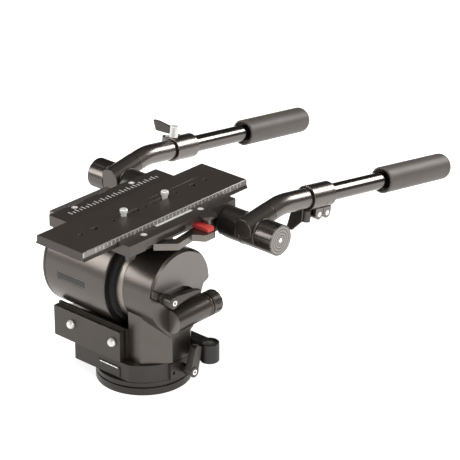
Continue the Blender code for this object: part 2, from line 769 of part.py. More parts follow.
def end_cover():
    """Light plate over the upper part of the right drum, with a chamfered rim."""
    low = TOWER_RIGHT - COVER_THICKNESS + 2 * SEAT
    high = TOWER_RIGHT + SEAT
    rim = TOWER_RADIUS
    outline = [(0, high), (rim - COVER_CHAMFER, high), (rim, high - COVER_CHAMFER), (rim, low), (0, low)]
    cover = turned("end_cover", outline, TILT_AXIS, "X", light_face())
    edge = TOWER_RADIUS + 2 * OVERRUN
    shape = notch_outline()
    lower = shape[:5] + [(edge, TILT_Z + NOTCH_UPPER_MIDDLE), (edge, TILT_Z - edge), (-edge, TILT_Z - edge)]
    cut(cover, prism("cover_lower_cut", lower, low - OVERRUN, high + OVERRUN, "X"))
    return cover


def front_cover():
    low = YOKE_BOTTOM
    back = -BOX_FRONT - SEAT
    front = back - FRONT_COVER_THICKNESS
    cover = box("front_cover", (-BOX_LEFT, front, low), (BOX_RIGHT, back, low + FRONT_COVER_HEIGHT),
                satin_grey(), edge=EDGE_BREAK)
    middle = low + FRONT_COVER_HEIGHT * 3 / 5
    places = {"cover_screw_left": COVER_SCREW_LEFT - BOX_LEFT, "cover_screw_right": BOX_RIGHT - COVER_SCREW_RIGHT}
    dome_shares = [(0, 1), (0.55, 0.93), (0.86, 0.66), (1, 0.3), (1, 0)]
    for name, x in places.items():
        outline = [(COVER_SCREW_RADIUS * across, COVER_SCREW_PROUD * up) for across, up in dome_shares]
        outline += [
            (COVER_SCREW_SHANK, 0),
            (COVER_SCREW_SHANK, -COVER_SCREW_SINK),
            (0, -COVER_SCREW_SINK),
        ]
        turn = Matrix.Rotation(math.radians(90), 4, "X")
        place = (x, front - SEAT, middle)
        turned(name, outline, place, "Y", bright_steel(), SMALL_ROUND, turn=turn)
        hole = rod(COVER_SCREW_SHANK + SEAT, -COVER_SCREW_SINK - SEAT, OVERRUN)
        cut(cover, turned(f"{name}_hole", hole, (x, front, middle), "Y", steps=SMALL_ROUND, turn=turn))
    return cover


def barrel_place():
    return Vector((BARREL_AXIS_X, 0, TILT_Z - BARREL_DROP))


def drag_control():
    """Barrel let into the tower, its ribbed collar and the fluted knob behind it."""
    start = -BARREL_FRONT
    end = start + BARREL_LENGTH
    ring = end + BARREL_RING_LENGTH
    radius = BARREL_RADIUS
    groove = radius - BARREL_RING_GROOVE
    rib_rear = ring - BARREL_RING_LENGTH / 4
    rib_front = ring - BARREL_RING_LENGTH / 2
    outline = [
        (0, ring),
        (groove, ring),
        (groove, rib_rear),
        (radius, rib_rear),
        (radius, rib_front),
        (groove, rib_front),
        (groove, end),
        (radius, end),
        (radius, start + EDGE_BREAK),
        (radius - EDGE_BREAK, start),
        (0, start),
    ]
    turned("drag_barrel", outline, barrel_place(), "Y", satin_grey(), MEDIUM_ROUND)
    low = ring + SEAT
    high = low + DRAG_KNOB_LENGTH
    knob = turned("drag_knob", [
        (0, high),
        (DRAG_KNOB_RADIUS - DRAG_KNOB_TAPER - EDGE_BREAK, high),
        (DRAG_KNOB_RADIUS - DRAG_KNOB_TAPER, high - EDGE_BREAK),
        (DRAG_KNOB_RADIUS, low + EDGE_BREAK),
        (DRAG_KNOB_RADIUS - EDGE_BREAK, low),
        (0, low),
    ], barrel_place(), "Y", satin_grey(), MEDIUM_ROUND)
    for number in range(DRAG_KNOB_FLUTES):
        angle = math.tau * number / DRAG_KNOB_FLUTES
        place = barrel_place() + Vector((DRAG_KNOB_RADIUS * math.cos(angle), 0,
                                         DRAG_KNOB_RADIUS * math.sin(angle)))
        flute = rod(FLUTE_RADIUS, low + DRAG_KNOB_LENGTH / 4, high + OVERRUN)
        cut(knob, turned(f"knob_flute_{number}", flute, place, "Y", steps=FINE_ROUND))


def tilt_lock():
    """Square block and shaft in the notch, and the lever on its end."""
    centre = Vector((0, -TILT_LOCK_FORWARD, TILT_Z + TILT_LOCK_RISE))
    floor = TOWER_RIGHT - NOTCH_DEPTH
    hub_end = TILT_LOCK_HUB_LEFT + TILT_LOCK_HUB_LENGTH
    shaft = turned("tilt_lock_shaft", rod(TILT_LOCK_SHAFT_RADIUS, floor - TILT_LOCK_SINK,
                                          hub_end - EDGE_BREAK), centre, "X", bright_steel(), SMALL_ROUND)
    half = TILT_LOCK_BLOCK / 2
    block = box("lock_block", (floor + SEAT, -half, -half), (TILT_LOCK_HUB_LEFT - SEAT, half, half),
                matrix=Matrix.Translation(centre))
    join(shaft, block)
    low = TILT_LOCK_HUB_LEFT
    lever = turned("tilt_lock_lever", rod(TILT_LOCK_HUB_RADIUS, low, hub_end, EDGE_BREAK), centre, "X",
                   dark_paint(), SMALL_ROUND)
    arm_low = hub_end - EDGE_BREAK - TILT_LOCK_ARM_THICKNESS
    blade = [(0, TILT_LOCK_HUB_RADIUS), (0, -TILT_LOCK_HUB_RADIUS)]
    tip = (TILT_LOCK_ARM_LENGTH, 0)
    blade += arc(tip, TILT_LOCK_ARM_HALF, -90, 90, 6)
    arm = prism("tilt_lock_arm", blade, arm_low, arm_low + TILT_LOCK_ARM_THICKNESS, "X",
                matrix=Matrix.Translation(centre))
    join(lever, arm)
    hole = turned("tilt_lock_lever_bore", rod(TILT_LOCK_SHAFT_RADIUS + SEAT, low - OVERRUN,
                                              hub_end - EDGE_BREAK + SEAT), centre, "X",
                  steps=SMALL_ROUND)
    cut(lever, hole)


def pan_lock_place():
    return Vector((EAR_FACE, PAN_LOCK_REAR, HOUSING_BOTTOM + PAN_LOCK_RISE))


def pan_lock():
    """Round hub on a stud in the clamp ear, with a flat arm that stands up."""
    centre = pan_lock_place()
    outline = [
        (0, PAN_LOCK_HUB_LENGTH),
        (PAN_LOCK_HUB_RADIUS - EDGE_BREAK, PAN_LOCK_HUB_LENGTH),
        (PAN_LOCK_HUB_RADIUS, PAN_LOCK_HUB_LENGTH - EDGE_BREAK),
        (PAN_LOCK_HUB_RADIUS, SEAT),
        (PAN_LOCK_STUD_RADIUS, SEAT),
        (PAN_LOCK_STUD_RADIUS, -PAN_LOCK_STUD_LENGTH),
        (0, -PAN_LOCK_STUD_LENGTH),
    ]
    lever = turned("pan_lock_lever", outline, centre, "X", dark_paint(), SMALL_ROUND)
    high = PAN_LOCK_HUB_LENGTH - EDGE_BREAK
    half = PAN_LOCK_ARM_HALF
    blade = [(PAN_LOCK_HUB_RADIUS, 0)]
    blade += [(half, PAN_LOCK_ARM_LENGTH), (-half, PAN_LOCK_ARM_LENGTH), (-PAN_LOCK_HUB_RADIUS, 0)]
    lean = Matrix.Rotation(math.radians(-PAN_LOCK_LEAN_DEG), 4, "X")
    arm = prism("pan_lock_arm", blade, high - PAN_LOCK_ARM_THICKNESS, high, "X",
                matrix=Matrix.Translation(centre) @ lean, edge=EDGE_BREAK)
    join(lever, arm)


def level():
    """Cup on an arm from the tower, with the vial in it."""
    top = HOUSING_TOP + LEVEL_TOP_RISE
    bottom = top - LEVEL_HEIGHT
    centre = (LEVEL_X, LEVEL_Y, 0)
    cup = turned("level_bracket", rod(LEVEL_RADIUS, bottom, top, EDGE_BREAK), centre, "Z", dark_paint(),
                 MEDIUM_ROUND)
    slope = (TOWER_FRONT - NECK_HALF) / (TOWER_RIGHT - TOWER_FRONT_RIGHT)
    near = LEVEL_Y - LEVEL_ARM_HALF
    far = LEVEL_Y + LEVEL_ARM_HALF
    clearance = SEAT * math.hypot(1, slope)
    arm_outline = [
        (LEVEL_X, near),
        (LEVEL_X, far),
        (TOWER_RIGHT - (far - NECK_HALF) / slope + clearance, far),
        (TOWER_RIGHT - (near - NECK_HALF) / slope + clearance, near),
    ]
    arm = prism("level_arm", arm_outline, top - EDGE_BREAK - LEVEL_ARM_HEIGHT, top - EDGE_BREAK, "Z")
    join(cup, arm)
    cut(cup, turned("level_cup", rod(LEVEL_CUP_RADIUS, top - LEVEL_CUP_DEPTH, top + OVERRUN), centre, "Z",
                    steps=SMALL_ROUND))
    floor = top - LEVEL_CUP_DEPTH + SEAT
    turned("level_vial", rod(LEVEL_CUP_RADIUS - SEAT, floor, floor + LEVEL_GLASS_HEIGHT, EDGE_BREAK),
           centre, "Z", vial_glass(), SMALL_ROUND)


def tilt_fixed_rings():
    """Polished bezel on the tower and the black hub in the gap, with its spring sleeve."""
    bezel_low = TOWER_LEFT - SEAT - BEZEL_LENGTH
    bore = TILT_AXLE_RADIUS + RUN_GAP
    bezel = ring_outline(bore, TOWER_RADIUS, bezel_low, TOWER_LEFT - SEAT, EDGE_BREAK)
    turned("bezel_ring", bezel, TILT_AXIS, "X", bright_steel(), ROUND, ring=True)
    high = bezel_low - SEAT
    low = -DRUM_RIGHT + RUN_GAP
    outline = [
        (bore, high),
        (GAP_RING_RADIUS, high),
        (GAP_RING_RADIUS, low),
        (SLEEVE_RADIUS, low),
        (SLEEVE_RADIUS, low - SLEEVE_LENGTH),
        (bore, low - SLEEVE_LENGTH),
    ]
    turned("balance_hub", outline, TILT_AXIS, "X", black_plastic(), ROUND, ring=True)


def tilt_shaft():
    """Axle, bearings and drag rotor."""
    low = TOWER_LEFT + SEAT
    end = TOWER_LEFT + TOWER_BORE_DEPTH - RUN_GAP
    axle = rod(TILT_AXLE_RADIUS, -DRUM_LEFT + CAP_THICKNESS, end, EDGE_BREAK)
    turned("tilt_axle", axle, TILT_AXIS, "X", bright_steel(), SMALL_ROUND)
    bore = TILT_AXLE_RADIUS + SEAT
    outer = TOWER_BORE - 2 * SEAT
    left_end = low + TILT_BEARING_THICKNESS
    turned("tilt_bearing_left", ring_outline(bore, outer, low, left_end), TILT_AXIS, "X",
           bright_steel(), SMALL_ROUND, ring=True)
    rotor_low = left_end + SEAT
    rotor_high = rotor_low + TILT_ROTOR_THICKNESS
    turned("tilt_drag_rotor", ring_outline(bore, TILT_ROTOR_RADIUS, rotor_low, rotor_high), TILT_AXIS,
           "X", bright_steel(), SMALL_ROUND, ring=True)
    turned("tilt_bearing_right", ring_outline(bore, outer, rotor_high + SEAT,
                                              rotor_high + SEAT + TILT_BEARING_THICKNESS),
           TILT_AXIS, "X", bright_steel(), SMALL_ROUND, ring=True)


def tilt_drum():
    """Drum shell with its right web and the saddle that carries the platform."""
    left = -DRUM_LEFT + CAP_THICKNESS + SEAT
    right = -DRUM_RIGHT
    shell = turned("tilt_drum", rod(DRUM_RADIUS, left, right, DRUM_RIM), TILT_AXIS, "X", satin_grey())
    saddle = box("saddle", (-SADDLE_LEFT, -SADDLE_HALF, TILT_Z),
                 (-SADDLE_RIGHT, SADDLE_HALF, PLATFORM_BOTTOM - SEAT), edge=EDGE_BREAK)
    join(shell, saddle)
    hollow = turned("drum_hollow", rod(DRUM_RADIUS - DRUM_WALL, left - OVERRUN, right - DRUM_WEB),
                    TILT_AXIS, "X")
    web_bore = turned("web_bore", rod(SLEEVE_RADIUS + RUN_GAP, right - DRUM_WEB - OVERRUN, right + OVERRUN),
                      TILT_AXIS, "X", steps=MEDIUM_ROUND)
    middle = TILT_Z - NAMEPLATE_DROP
    half = NAMEPLATE_HEIGHT / 2
    plate = box("nameplate_recess", (-NAMEPLATE_LEFT, -DRUM_RADIUS - OVERRUN, middle - half),
                (-NAMEPLATE_RIGHT, -DRUM_RADIUS + NAMEPLATE_DEPTH, middle + half))
    cut(shell, hollow, web_bore, plate)
    hollow_radius = DRUM_RADIUS - DRUM_WALL
    spigot = hollow_radius - SEAT
    face = -DRUM_LEFT
    inner = face + CAP_THICKNESS
    bore = TILT_AXLE_RADIUS + SEAT
    outline = [
        (0, face),
        (DRUM_RADIUS - DRUM_RIM, face),
        (DRUM_RADIUS, face + DRUM_RIM),
        (DRUM_RADIUS, inner),
        (spigot, inner),
        (spigot, inner + CAP_SPIGOT),
        (CAP_HUB_RADIUS, inner + CAP_SPIGOT),
        (CAP_HUB_RADIUS, inner + CAP_HUB_LENGTH),
        (bore, inner + CAP_HUB_LENGTH),
        (bore, inner - SEAT),
        (0, inner - SEAT),
    ]
    turned("drum_cap", outline, TILT_AXIS, "X", satin_grey())
    dial_high = face - SEAT
    dial = rod(DIAL_RADIUS, dial_high - DIAL_THICKNESS, dial_high, EDGE_BREAK)
    turned("balance_dial", dial, TILT_AXIS, "X", dark_paint(), MEDIUM_ROUND)
    spring_left = inner + CAP_SPIGOT + SPRING_END_GAP + SPRING_WIRE
    spring_right = right - DRUM_WEB - SPRING_END_GAP - SPRING_WIRE
    pitch = (spring_right - spring_left) / SPRING_TURNS
    print("least gap between spring turns:", round(pitch - 2 * SPRING_WIRE, 6))
    points = []
    for number in range(SPRING_TURNS * SPRING_POINTS + 1):
        angle = math.tau * number / SPRING_POINTS
        x = spring_left + pitch * number / SPRING_POINTS
        points.append((x, SPRING_RADIUS * math.cos(angle), TILT_Z + SPRING_RADIUS * math.sin(angle)))
    tube("balance_spring", points, SPRING_WIRE, bright_steel(), SPRING_RESOLUTION)


def dovetail(gap):
    """Cross-section of the camera plate, or of its channel where a gap is given."""
    half = PLATE_HALF + gap
    foot = half + DOVETAIL
    low = PLATE_BOTTOM - (SEAT if gap else 0)
    top = PLATE_TOP + (OVERRUN if gap else 0)
    shoulder = PLATE_BOTTOM + DOVETAIL_HEIGHT
    right = [(foot, low), (foot, PLATE_BOTTOM + DOVETAIL_FOOT), (half, shoulder)]
    if gap:
        right.append((half, top))
    else:
        right += [(half, top - EDGE_BREAK), (half - EDGE_BREAK, top)]
    return right + [(-x, z) for x, z in reversed(right)]


def side_of(side, x):
    """An X place given from the platform's middle, on the right or the left."""
    return PLATFORM_CENTRE + side * x


def platform():
    """Bed with the plate channel, a thin right flange with a lug, and seats for what it carries."""
    left = side_of(LEFT, PLATFORM_HALF)
    right = side_of(RIGHT, PLATFORM_HALF)
    bed = box("platform", (left, -PLATFORM_FRONT, PLATFORM_BOTTOM), (right, PLATFORM_REAR, PLATFORM_TOP),
              satin_grey(), edge=EDGE_BREAK)
    flange_low = PLATFORM_TOP - FLANGE_THICKNESS
    lug_outline = arc((LUG_X, LUG_Y), LUG_RADIUS, -80, 80, 10)
    lug_outline += [(right - OVERRUN, LUG_Y + LUG_RADIUS), (right - OVERRUN, LUG_Y - LUG_RADIUS)]
    lug = prism("clamp_lug", lug_outline, flange_low, PLATFORM_TOP - EDGE_BREAK / 2, "Z")
    foot_outline = [
        (right, PLATFORM_BOTTOM + OVERRUN),
        (right - FOOT_WIDTH, PLATFORM_BOTTOM + OVERRUN),
        (right - FOOT_WIDTH * 3 / 4, PLATFORM_BOTTOM - FOOT_DROP),
        (right - FOOT_WIDTH / 3, PLATFORM_BOTTOM - FOOT_DROP),
    ]
    foot_rear = -PLATFORM_FRONT + FOOT_LENGTH
    foot = prism("corner_foot", foot_outline, -PLATFORM_FRONT + EDGE_BREAK, foot_rear, "Y")
    join(bed, lug, foot)
    reach = OVERRUN + PLATE_LENGTH
    channel = prism("plate_channel", dovetail(RUN_GAP), -reach, reach, "Y")
    step = box("flange_step", (FLANGE_STEP_X, -FLANGE_STEP_FRONT, PLATFORM_BOTTOM - OVERRUN),
               (right + OVERRUN, FLANGE_STEP_REAR, flange_low))
    jaw_right = jaw_left() + JAW_WIDTH + JAW_TRAVEL + SEAT
    pocket = box("jaw_pocket", (PLATE_HALF - OVERRUN, -JAW_FRONT - SEAT, CHANNEL_FLOOR),
                 (jaw_right, JAW_REAR + SEAT, PLATFORM_TOP + OVERRUN))
    cut(bed, channel, step, pocket)
    slits = {
        "edge_slit_front": (-EDGE_SLIT_FRONT, EDGE_SLIT_LENGTH),
        "edge_slit_rear": (EDGE_SLIT_REAR, EDGE_SLIT_REAR_LENGTH),
    }
    for name, (start, length) in slits.items():
        slit = box(name, (left - OVERRUN, start, PLATFORM_BOTTOM - OVERRUN),
                   (left + EDGE_SLIT_DEPTH, start + length, PLATFORM_TOP + OVERRUN))
        cut(bed, slit)
    for side in (RIGHT, LEFT):
        groove = turned(f"boss_groove_{side}", rod(BOSS_RADIUS + SEAT, BOSS_INNER - SEAT,
                                                  PLATFORM_HALF + OVERRUN),
                        (PLATFORM_CENTRE, HANDLE_BACK, HANDLE_Z), "X", steps=MEDIUM_ROUND,
                        turn=side_turn(side))
        cut(bed, groove)
    number = 0
    for side in (RIGHT, LEFT):
        for y in (-PLATFORM_SCREW_FRONT, PLATFORM_SCREW_REAR):
            number += 1
            x = side_of(side, screw_reach(side))
            top = PLATFORM_TOP - SEAT
            place = (x, y, 0)
            head = rod(PLATFORM_SCREW_RADIUS, top - PLATFORM_SCREW_DEPTH, top)
            turned(f"platform_screw_{number}", head, place, "Z", bright_steel(), SMALL_ROUND)
            sink = rod(PLATFORM_SCREW_RADIUS + SEAT, top - PLATFORM_SCREW_DEPTH - SEAT,
                       PLATFORM_TOP + OVERRUN)
            cut(bed, turned(f"screw_sink_{number}", sink, place, "Z", steps=SMALL_ROUND))
    bar_top = PLATFORM_TOP - RAIL_BAR_TOP_DROP
    box("rail_bar", (left - SEAT - RAIL_BAR_WIDTH, -RAIL_BAR_FRONT, bar_top - RAIL_BAR_HEIGHT),
        (left - SEAT, RAIL_BAR_REAR, bar_top), light_face(), edge=EDGE_BREAK)
    return bed


def screw_reach(side):
    """Distance of the platform screws from its middle; the left flange is the wider one."""
    if side == RIGHT:
        return PLATFORM_SCREW_X
    return PLATFORM_HALF - PLATFORM_SCREW_RADIUS - EDGE_SLIT_DEPTH - EDGE_BREAK


def side_turn(side):
    """Turn that points a profile's height to the right, or to the left."""
    return Matrix.Rotation(math.radians(90 * side), 4, "Y")


def jaw_left():
    return PLATE_HALF + RUN_GAP


def side_clamp():
    """Jaw against the plate's dovetail, lever below the flange and its red safety button."""
    left = jaw_left()
    right = left + JAW_WIDTH
    top = PLATFORM_TOP - JAW_SINK
    shoulder = PLATE_BOTTOM + DOVETAIL_HEIGHT
    low = CHANNEL_FLOOR + SEAT
    relief = left + DOVETAIL + SEAT
    outline = [(right, low), (right, top), (left, top), (left, shoulder + SEAT),
               (relief, PLATE_BOTTOM + DOVETAIL_FOOT), (relief, low)]
    prism("clamp_jaw", outline, -JAW_FRONT, JAW_REAR, "Y", bright_steel())
    lever_top = PLATFORM_BOTTOM - CLAMP_LEVER_GAP
    lever_low = lever_top - CLAMP_LEVER_THICKNESS
    pivot = Vector((LUG_X, LUG_Y, 0))
    x = side_of(RIGHT, PLATFORM_HALF)
    length = LUG_Y + PLATFORM_FRONT
    front_shares = [(-0.75, 0.37), (1.2, 0.53), (0.76, 0.76), (1.96, 0.825)]
    rear_shares = [(-0.2, 0.76), (0.15, 0.59), (-1.25, 0.44)]
    points = [(x + LUG_RADIUS * across, length * back) for across, back in front_shares]
    points += [
        (x + LUG_RADIUS * front_shares[-1][0], length - LUG_RADIUS / 2),
        (LUG_X + CLAMP_HUB_RADIUS / 2, length + CLAMP_HUB_RADIUS * 3 / 4),
        (LUG_X - CLAMP_HUB_RADIUS, length),
    ]
    points += [(x + LUG_RADIUS * across, length * back) for across, back in rear_shares]
    outline = [(px - pivot.x, along - PLATFORM_FRONT - pivot.y) for px, along in points]
    lever = prism("clamp_lever", outline, lever_low, lever_top, "Z", satin_grey(),
                  matrix=Matrix.Translation(pivot), edge=EDGE_BREAK)
    hub_top = PLATFORM_TOP - FLANGE_THICKNESS - SEAT
    hub = turned("clamp_hub", rod(CLAMP_HUB_RADIUS * 2 / 3, lever_top - OVERRUN, hub_top), pivot, "Z",
                 steps=SMALL_ROUND)
    join(lever, hub)
    button_low = lever_top + SEAT
    box("release_button", (RELEASE_LEFT + CLAMP_HUB_RISE, RELEASE_FRONT - RELEASE_WIDTH / 3, button_low),
        (RELEASE_LEFT + RELEASE_LENGTH, RELEASE_FRONT + RELEASE_WIDTH * 2 / 3 - SEAT,
         button_low + RELEASE_HEIGHT), red_plastic(), edge=EDGE_BREAK)


def camera_plate():
    """Long plate with a row of holes and two undercut slots for the camera screws."""
    start = PLATE_CENTRE - PLATE_LENGTH / 2
    end = PLATE_CENTRE + PLATE_LENGTH / 2
    plate = prism("camera_plate", dovetail(0), start, end, "Y", dark_paint())
    low = PLATE_BOTTOM - OVERRUN
    high = PLATE_TOP + OVERRUN
    holes = {
        PLATE_HOLE_MIDDLE: PLATE_SMALL_HOLE_RADIUS,
        PLATE_HOLE_LARGE: PLATE_LARGE_HOLE_RADIUS,
        PLATE_HOLE_END: PLATE_SMALL_HOLE_RADIUS,
        0: PLATE_SMALL_HOLE_RADIUS,
    }
    for reach, radius in holes.items():
        for side in ((RIGHT, LEFT) if reach else (RIGHT,)):
            place = (0, PLATE_CENTRE + side * reach, 0)
            cut(plate, turned(f"plate_hole_{side}_{reach}", rod(radius, low, high), place, "Z", steps=FINE_ROUND))
    for side in (RIGHT, LEFT):
        near = PLATE_CENTRE + side * PLATE_SLOT_NEAR
        far = PLATE_CENTRE + side * PLATE_SLOT_FAR
        undercut = PLATE_BOTTOM + PLATE_SLOT_UNDERCUT_DEPTH
        through = prism(f"plate_slot_{side}", slot_outline(near, far, PLATE_SLOT_RADIUS), low, high, "Z")
        wide = prism(f"plate_undercut_{side}", slot_outline(near, far, PLATE_SLOT_UNDERCUT_RADIUS),
                     low, undercut, "Z")
        cut(plate, wide, through)
    pin = (PLATE_HALF - STOP_PIN_INSET, start + STOP_PIN_INSET, 0)
    pin_low = PLATE_BOTTOM + DOVETAIL_FOOT
    cut(plate, turned("stop_pin_hole", rod(STOP_PIN_RADIUS + SEAT, low, pin_low + STOP_PIN_LENGTH / 2), pin,
                      "Z", steps=FINE_ROUND))
    turned("stop_pin", rod(STOP_PIN_RADIUS, PLATE_BOTTOM - OVERRUN, pin_low + STOP_PIN_LENGTH / 2 - SEAT),
           pin, "Z", bright_steel(), FINE_ROUND)
    for name, side in (("camera_screw_front", LEFT), ("camera_screw_rear", RIGHT)):
        camera_screw(name, PLATE_CENTRE + side * (PLATE_SLOT_FAR - SEAT))
    return plate


def slot_outline(near, far, radius):
    """Round-ended slot along Y."""
    low, high = sorted((near, far))
    return arc((0, high), radius, 0, 180, 6) + arc((0, low), radius, 180, 360, 6)


def camera_screw(name, y):
    head_low = PLATE_BOTTOM + SEAT
    head_high = head_low + CAMERA_SCREW_HEAD_HEIGHT
    top = PLATE_TOP + CAMERA_SCREW_RISE
    collar = top - CAMERA_SCREW_CAP_HEIGHT
    outline = [
        (0, top),
        (CAMERA_SCREW_CAP - EDGE_BREAK, top),
        (CAMERA_SCREW_CAP, top - EDGE_BREAK),
        (CAMERA_SCREW_CAP, collar),
        (CAMERA_SCREW_SHANK, collar),
        (CAMERA_SCREW_SHANK, head_high),
        (CAMERA_SCREW_HEAD, head_high),
        (CAMERA_SCREW_HEAD, head_low),
        (0, head_low),
    ]
    turned(name, outline, (0, y, 0), "Z", bright_steel(), SMALL_ROUND)


def handle_axis():
    return Vector((PLATFORM_CENTRE, HANDLE_BACK, HANDLE_Z))


def handle_directions(side):
    """Unit directions of the handle before and after its bend."""
    splay = math.radians(SPLAY_DEG) * side
    rise = math.radians(RISE_DEG)
    drop = math.radians(DROP_DEG)
    before = Vector((math.sin(splay), math.cos(splay) * math.cos(rise), math.sin(rise))).normalized()
    after = Vector((math.sin(splay), math.cos(splay) * math.cos(drop), -math.sin(drop))).normalized()
    return before, after


def bend_place(side):
    return Vector((side_of(side, BEND_OUT), BEND_BACK, PLATFORM_BOTTOM + BEND_RISE))


def along(direction):
    """Frame with Z along the direction and Y as near to up as it can be."""
    z = direction.normalized()
    x = Vector((0, 0, 1)).cross(z).normalized()
    y = z.cross(x)
    return Matrix((x, y, z)).transposed().to_4x4()


def label(side):
    return "right" if side == RIGHT else "left"


def handle_mount(side):
    """Boss fixed under the platform, socket on its rosette, and the knob."""
    turn = side_turn(side)
    outline = [
        (0, BOSS_INNER),
        (BOSS_RADIUS, BOSS_INNER),
        (BOSS_RADIUS, BOSS_FLARE_START),
        (ROSETTE_RADIUS, BOSS_FLARE_START + BOSS_FLARE_LENGTH),
        (ROSETTE_RADIUS, BOSS_END - ROSETTE_TOOTH),
        (ROSETTE_RADIUS - ROSETTE_TOOTH, BOSS_END),
        (STUD_RADIUS, BOSS_END),
        (STUD_RADIUS, BOSS_END + HUB_LENGTH - HUB_FLANGE),
        (0, BOSS_END + HUB_LENGTH - HUB_FLANGE),
    ]
    boss = turned(f"handle_boss_{label(side)}", outline, handle_axis(), "X", dark_paint(), MEDIUM_ROUND,
                  turn=turn)
    inner = side_of(side, BOSS_FOOT_INNER)
    outer = side_of(side, BOSS_INNER + BOSS_RADIUS / 2)
    low_x, high_x = sorted((inner, outer))
    foot = box(f"boss_foot_{side}", (low_x, HANDLE_BACK - BOSS_FOOT_HALF, PLATFORM_BOTTOM - BOSS_FOOT_DEPTH),
               (high_x, HANDLE_BACK + BOSS_FOOT_HALF, PLATFORM_BOTTOM - SEAT), edge=EDGE_BREAK)
    join(boss, foot)
    start = BOSS_END + SEAT
    end = start + HUB_LENGTH
    hub = turned(f"handle_socket_{label(side)}", [
        (0, end),
        (HUB_NECK_RADIUS, end),
        (HUB_NECK_RADIUS, start + HUB_FLANGE),
        (ROSETTE_RADIUS, start + HUB_FLANGE - ROSETTE_TOOTH),
        (ROSETTE_RADIUS, start + ROSETTE_TOOTH),
        (ROSETTE_RADIUS - ROSETTE_TOOTH, start),
        (0, start),
    ], handle_axis(), "X", satin_grey(), MEDIUM_ROUND, turn=turn)
    before, after = handle_directions(side)
    bend = bend_place(side)
    socket = turned(f"socket_tube_{side}", rod(SOCKET_RADIUS, -SOCKET_END, -SOCKET_START, EDGE_BREAK), bend,
                    "Z", steps=MEDIUM_ROUND, turn=along(before))
    spigot = turned(f"socket_spigot_{side}", rod(SPIGOT_RADIUS, -SOCKET_START - OVERRUN,
                                                 -SOCKET_START + SPIGOT_LENGTH), bend,
                    "Z", steps=MEDIUM_ROUND, turn=along(before))
    join(hub, socket, spigot)
    stud_bore = turned(f"stud_bore_{side}", rod(STUD_RADIUS + SEAT, start - OVERRUN,
                                                BOSS_END + HUB_LENGTH - HUB_FLANGE + SEAT),
                       handle_axis(), "X", steps=SMALL_ROUND, turn=turn)
    cut(hub, stud_bore)
    knob_low = end + SEAT
    knob_high = knob_low + KNOB_LENGTH
    knob = turned(f"handle_knob_{label(side)}", [
        (0, knob_high - KNOB_FACE_RECESS),
        (KNOB_SCREW_RADIUS, knob_high - KNOB_FACE_RECESS),
        (KNOB_SCREW_RADIUS + EDGE_BREAK, knob_high),
        (KNOB_RADIUS - EDGE_BREAK, knob_high),
        (KNOB_RADIUS, knob_high - EDGE_BREAK),
        (KNOB_RADIUS, knob_low + EDGE_BREAK),
        (KNOB_RADIUS - EDGE_BREAK, knob_low),
        (0, knob_low),
    ], handle_axis(), "X", dark_paint(), MEDIUM_ROUND, turn=turn)
    for number in range(KNOB_FLATS):
        angle = math.tau * (number + 0.5) / KNOB_FLATS
        reach = KNOB_RADIUS + KNOB_FLUTE_RADIUS - KNOB_FLUTE_DEPTH
        place = handle_axis() + Vector((0, reach * math.cos(angle), reach * math.sin(angle)))
        flute = rod(KNOB_FLUTE_RADIUS, knob_low + KNOB_LENGTH / 4, knob_high + OVERRUN)
        cut(knob, turned(f"knob_flute_{side}_{number}", flute, place, "X", steps=FINE_ROUND, turn=turn))


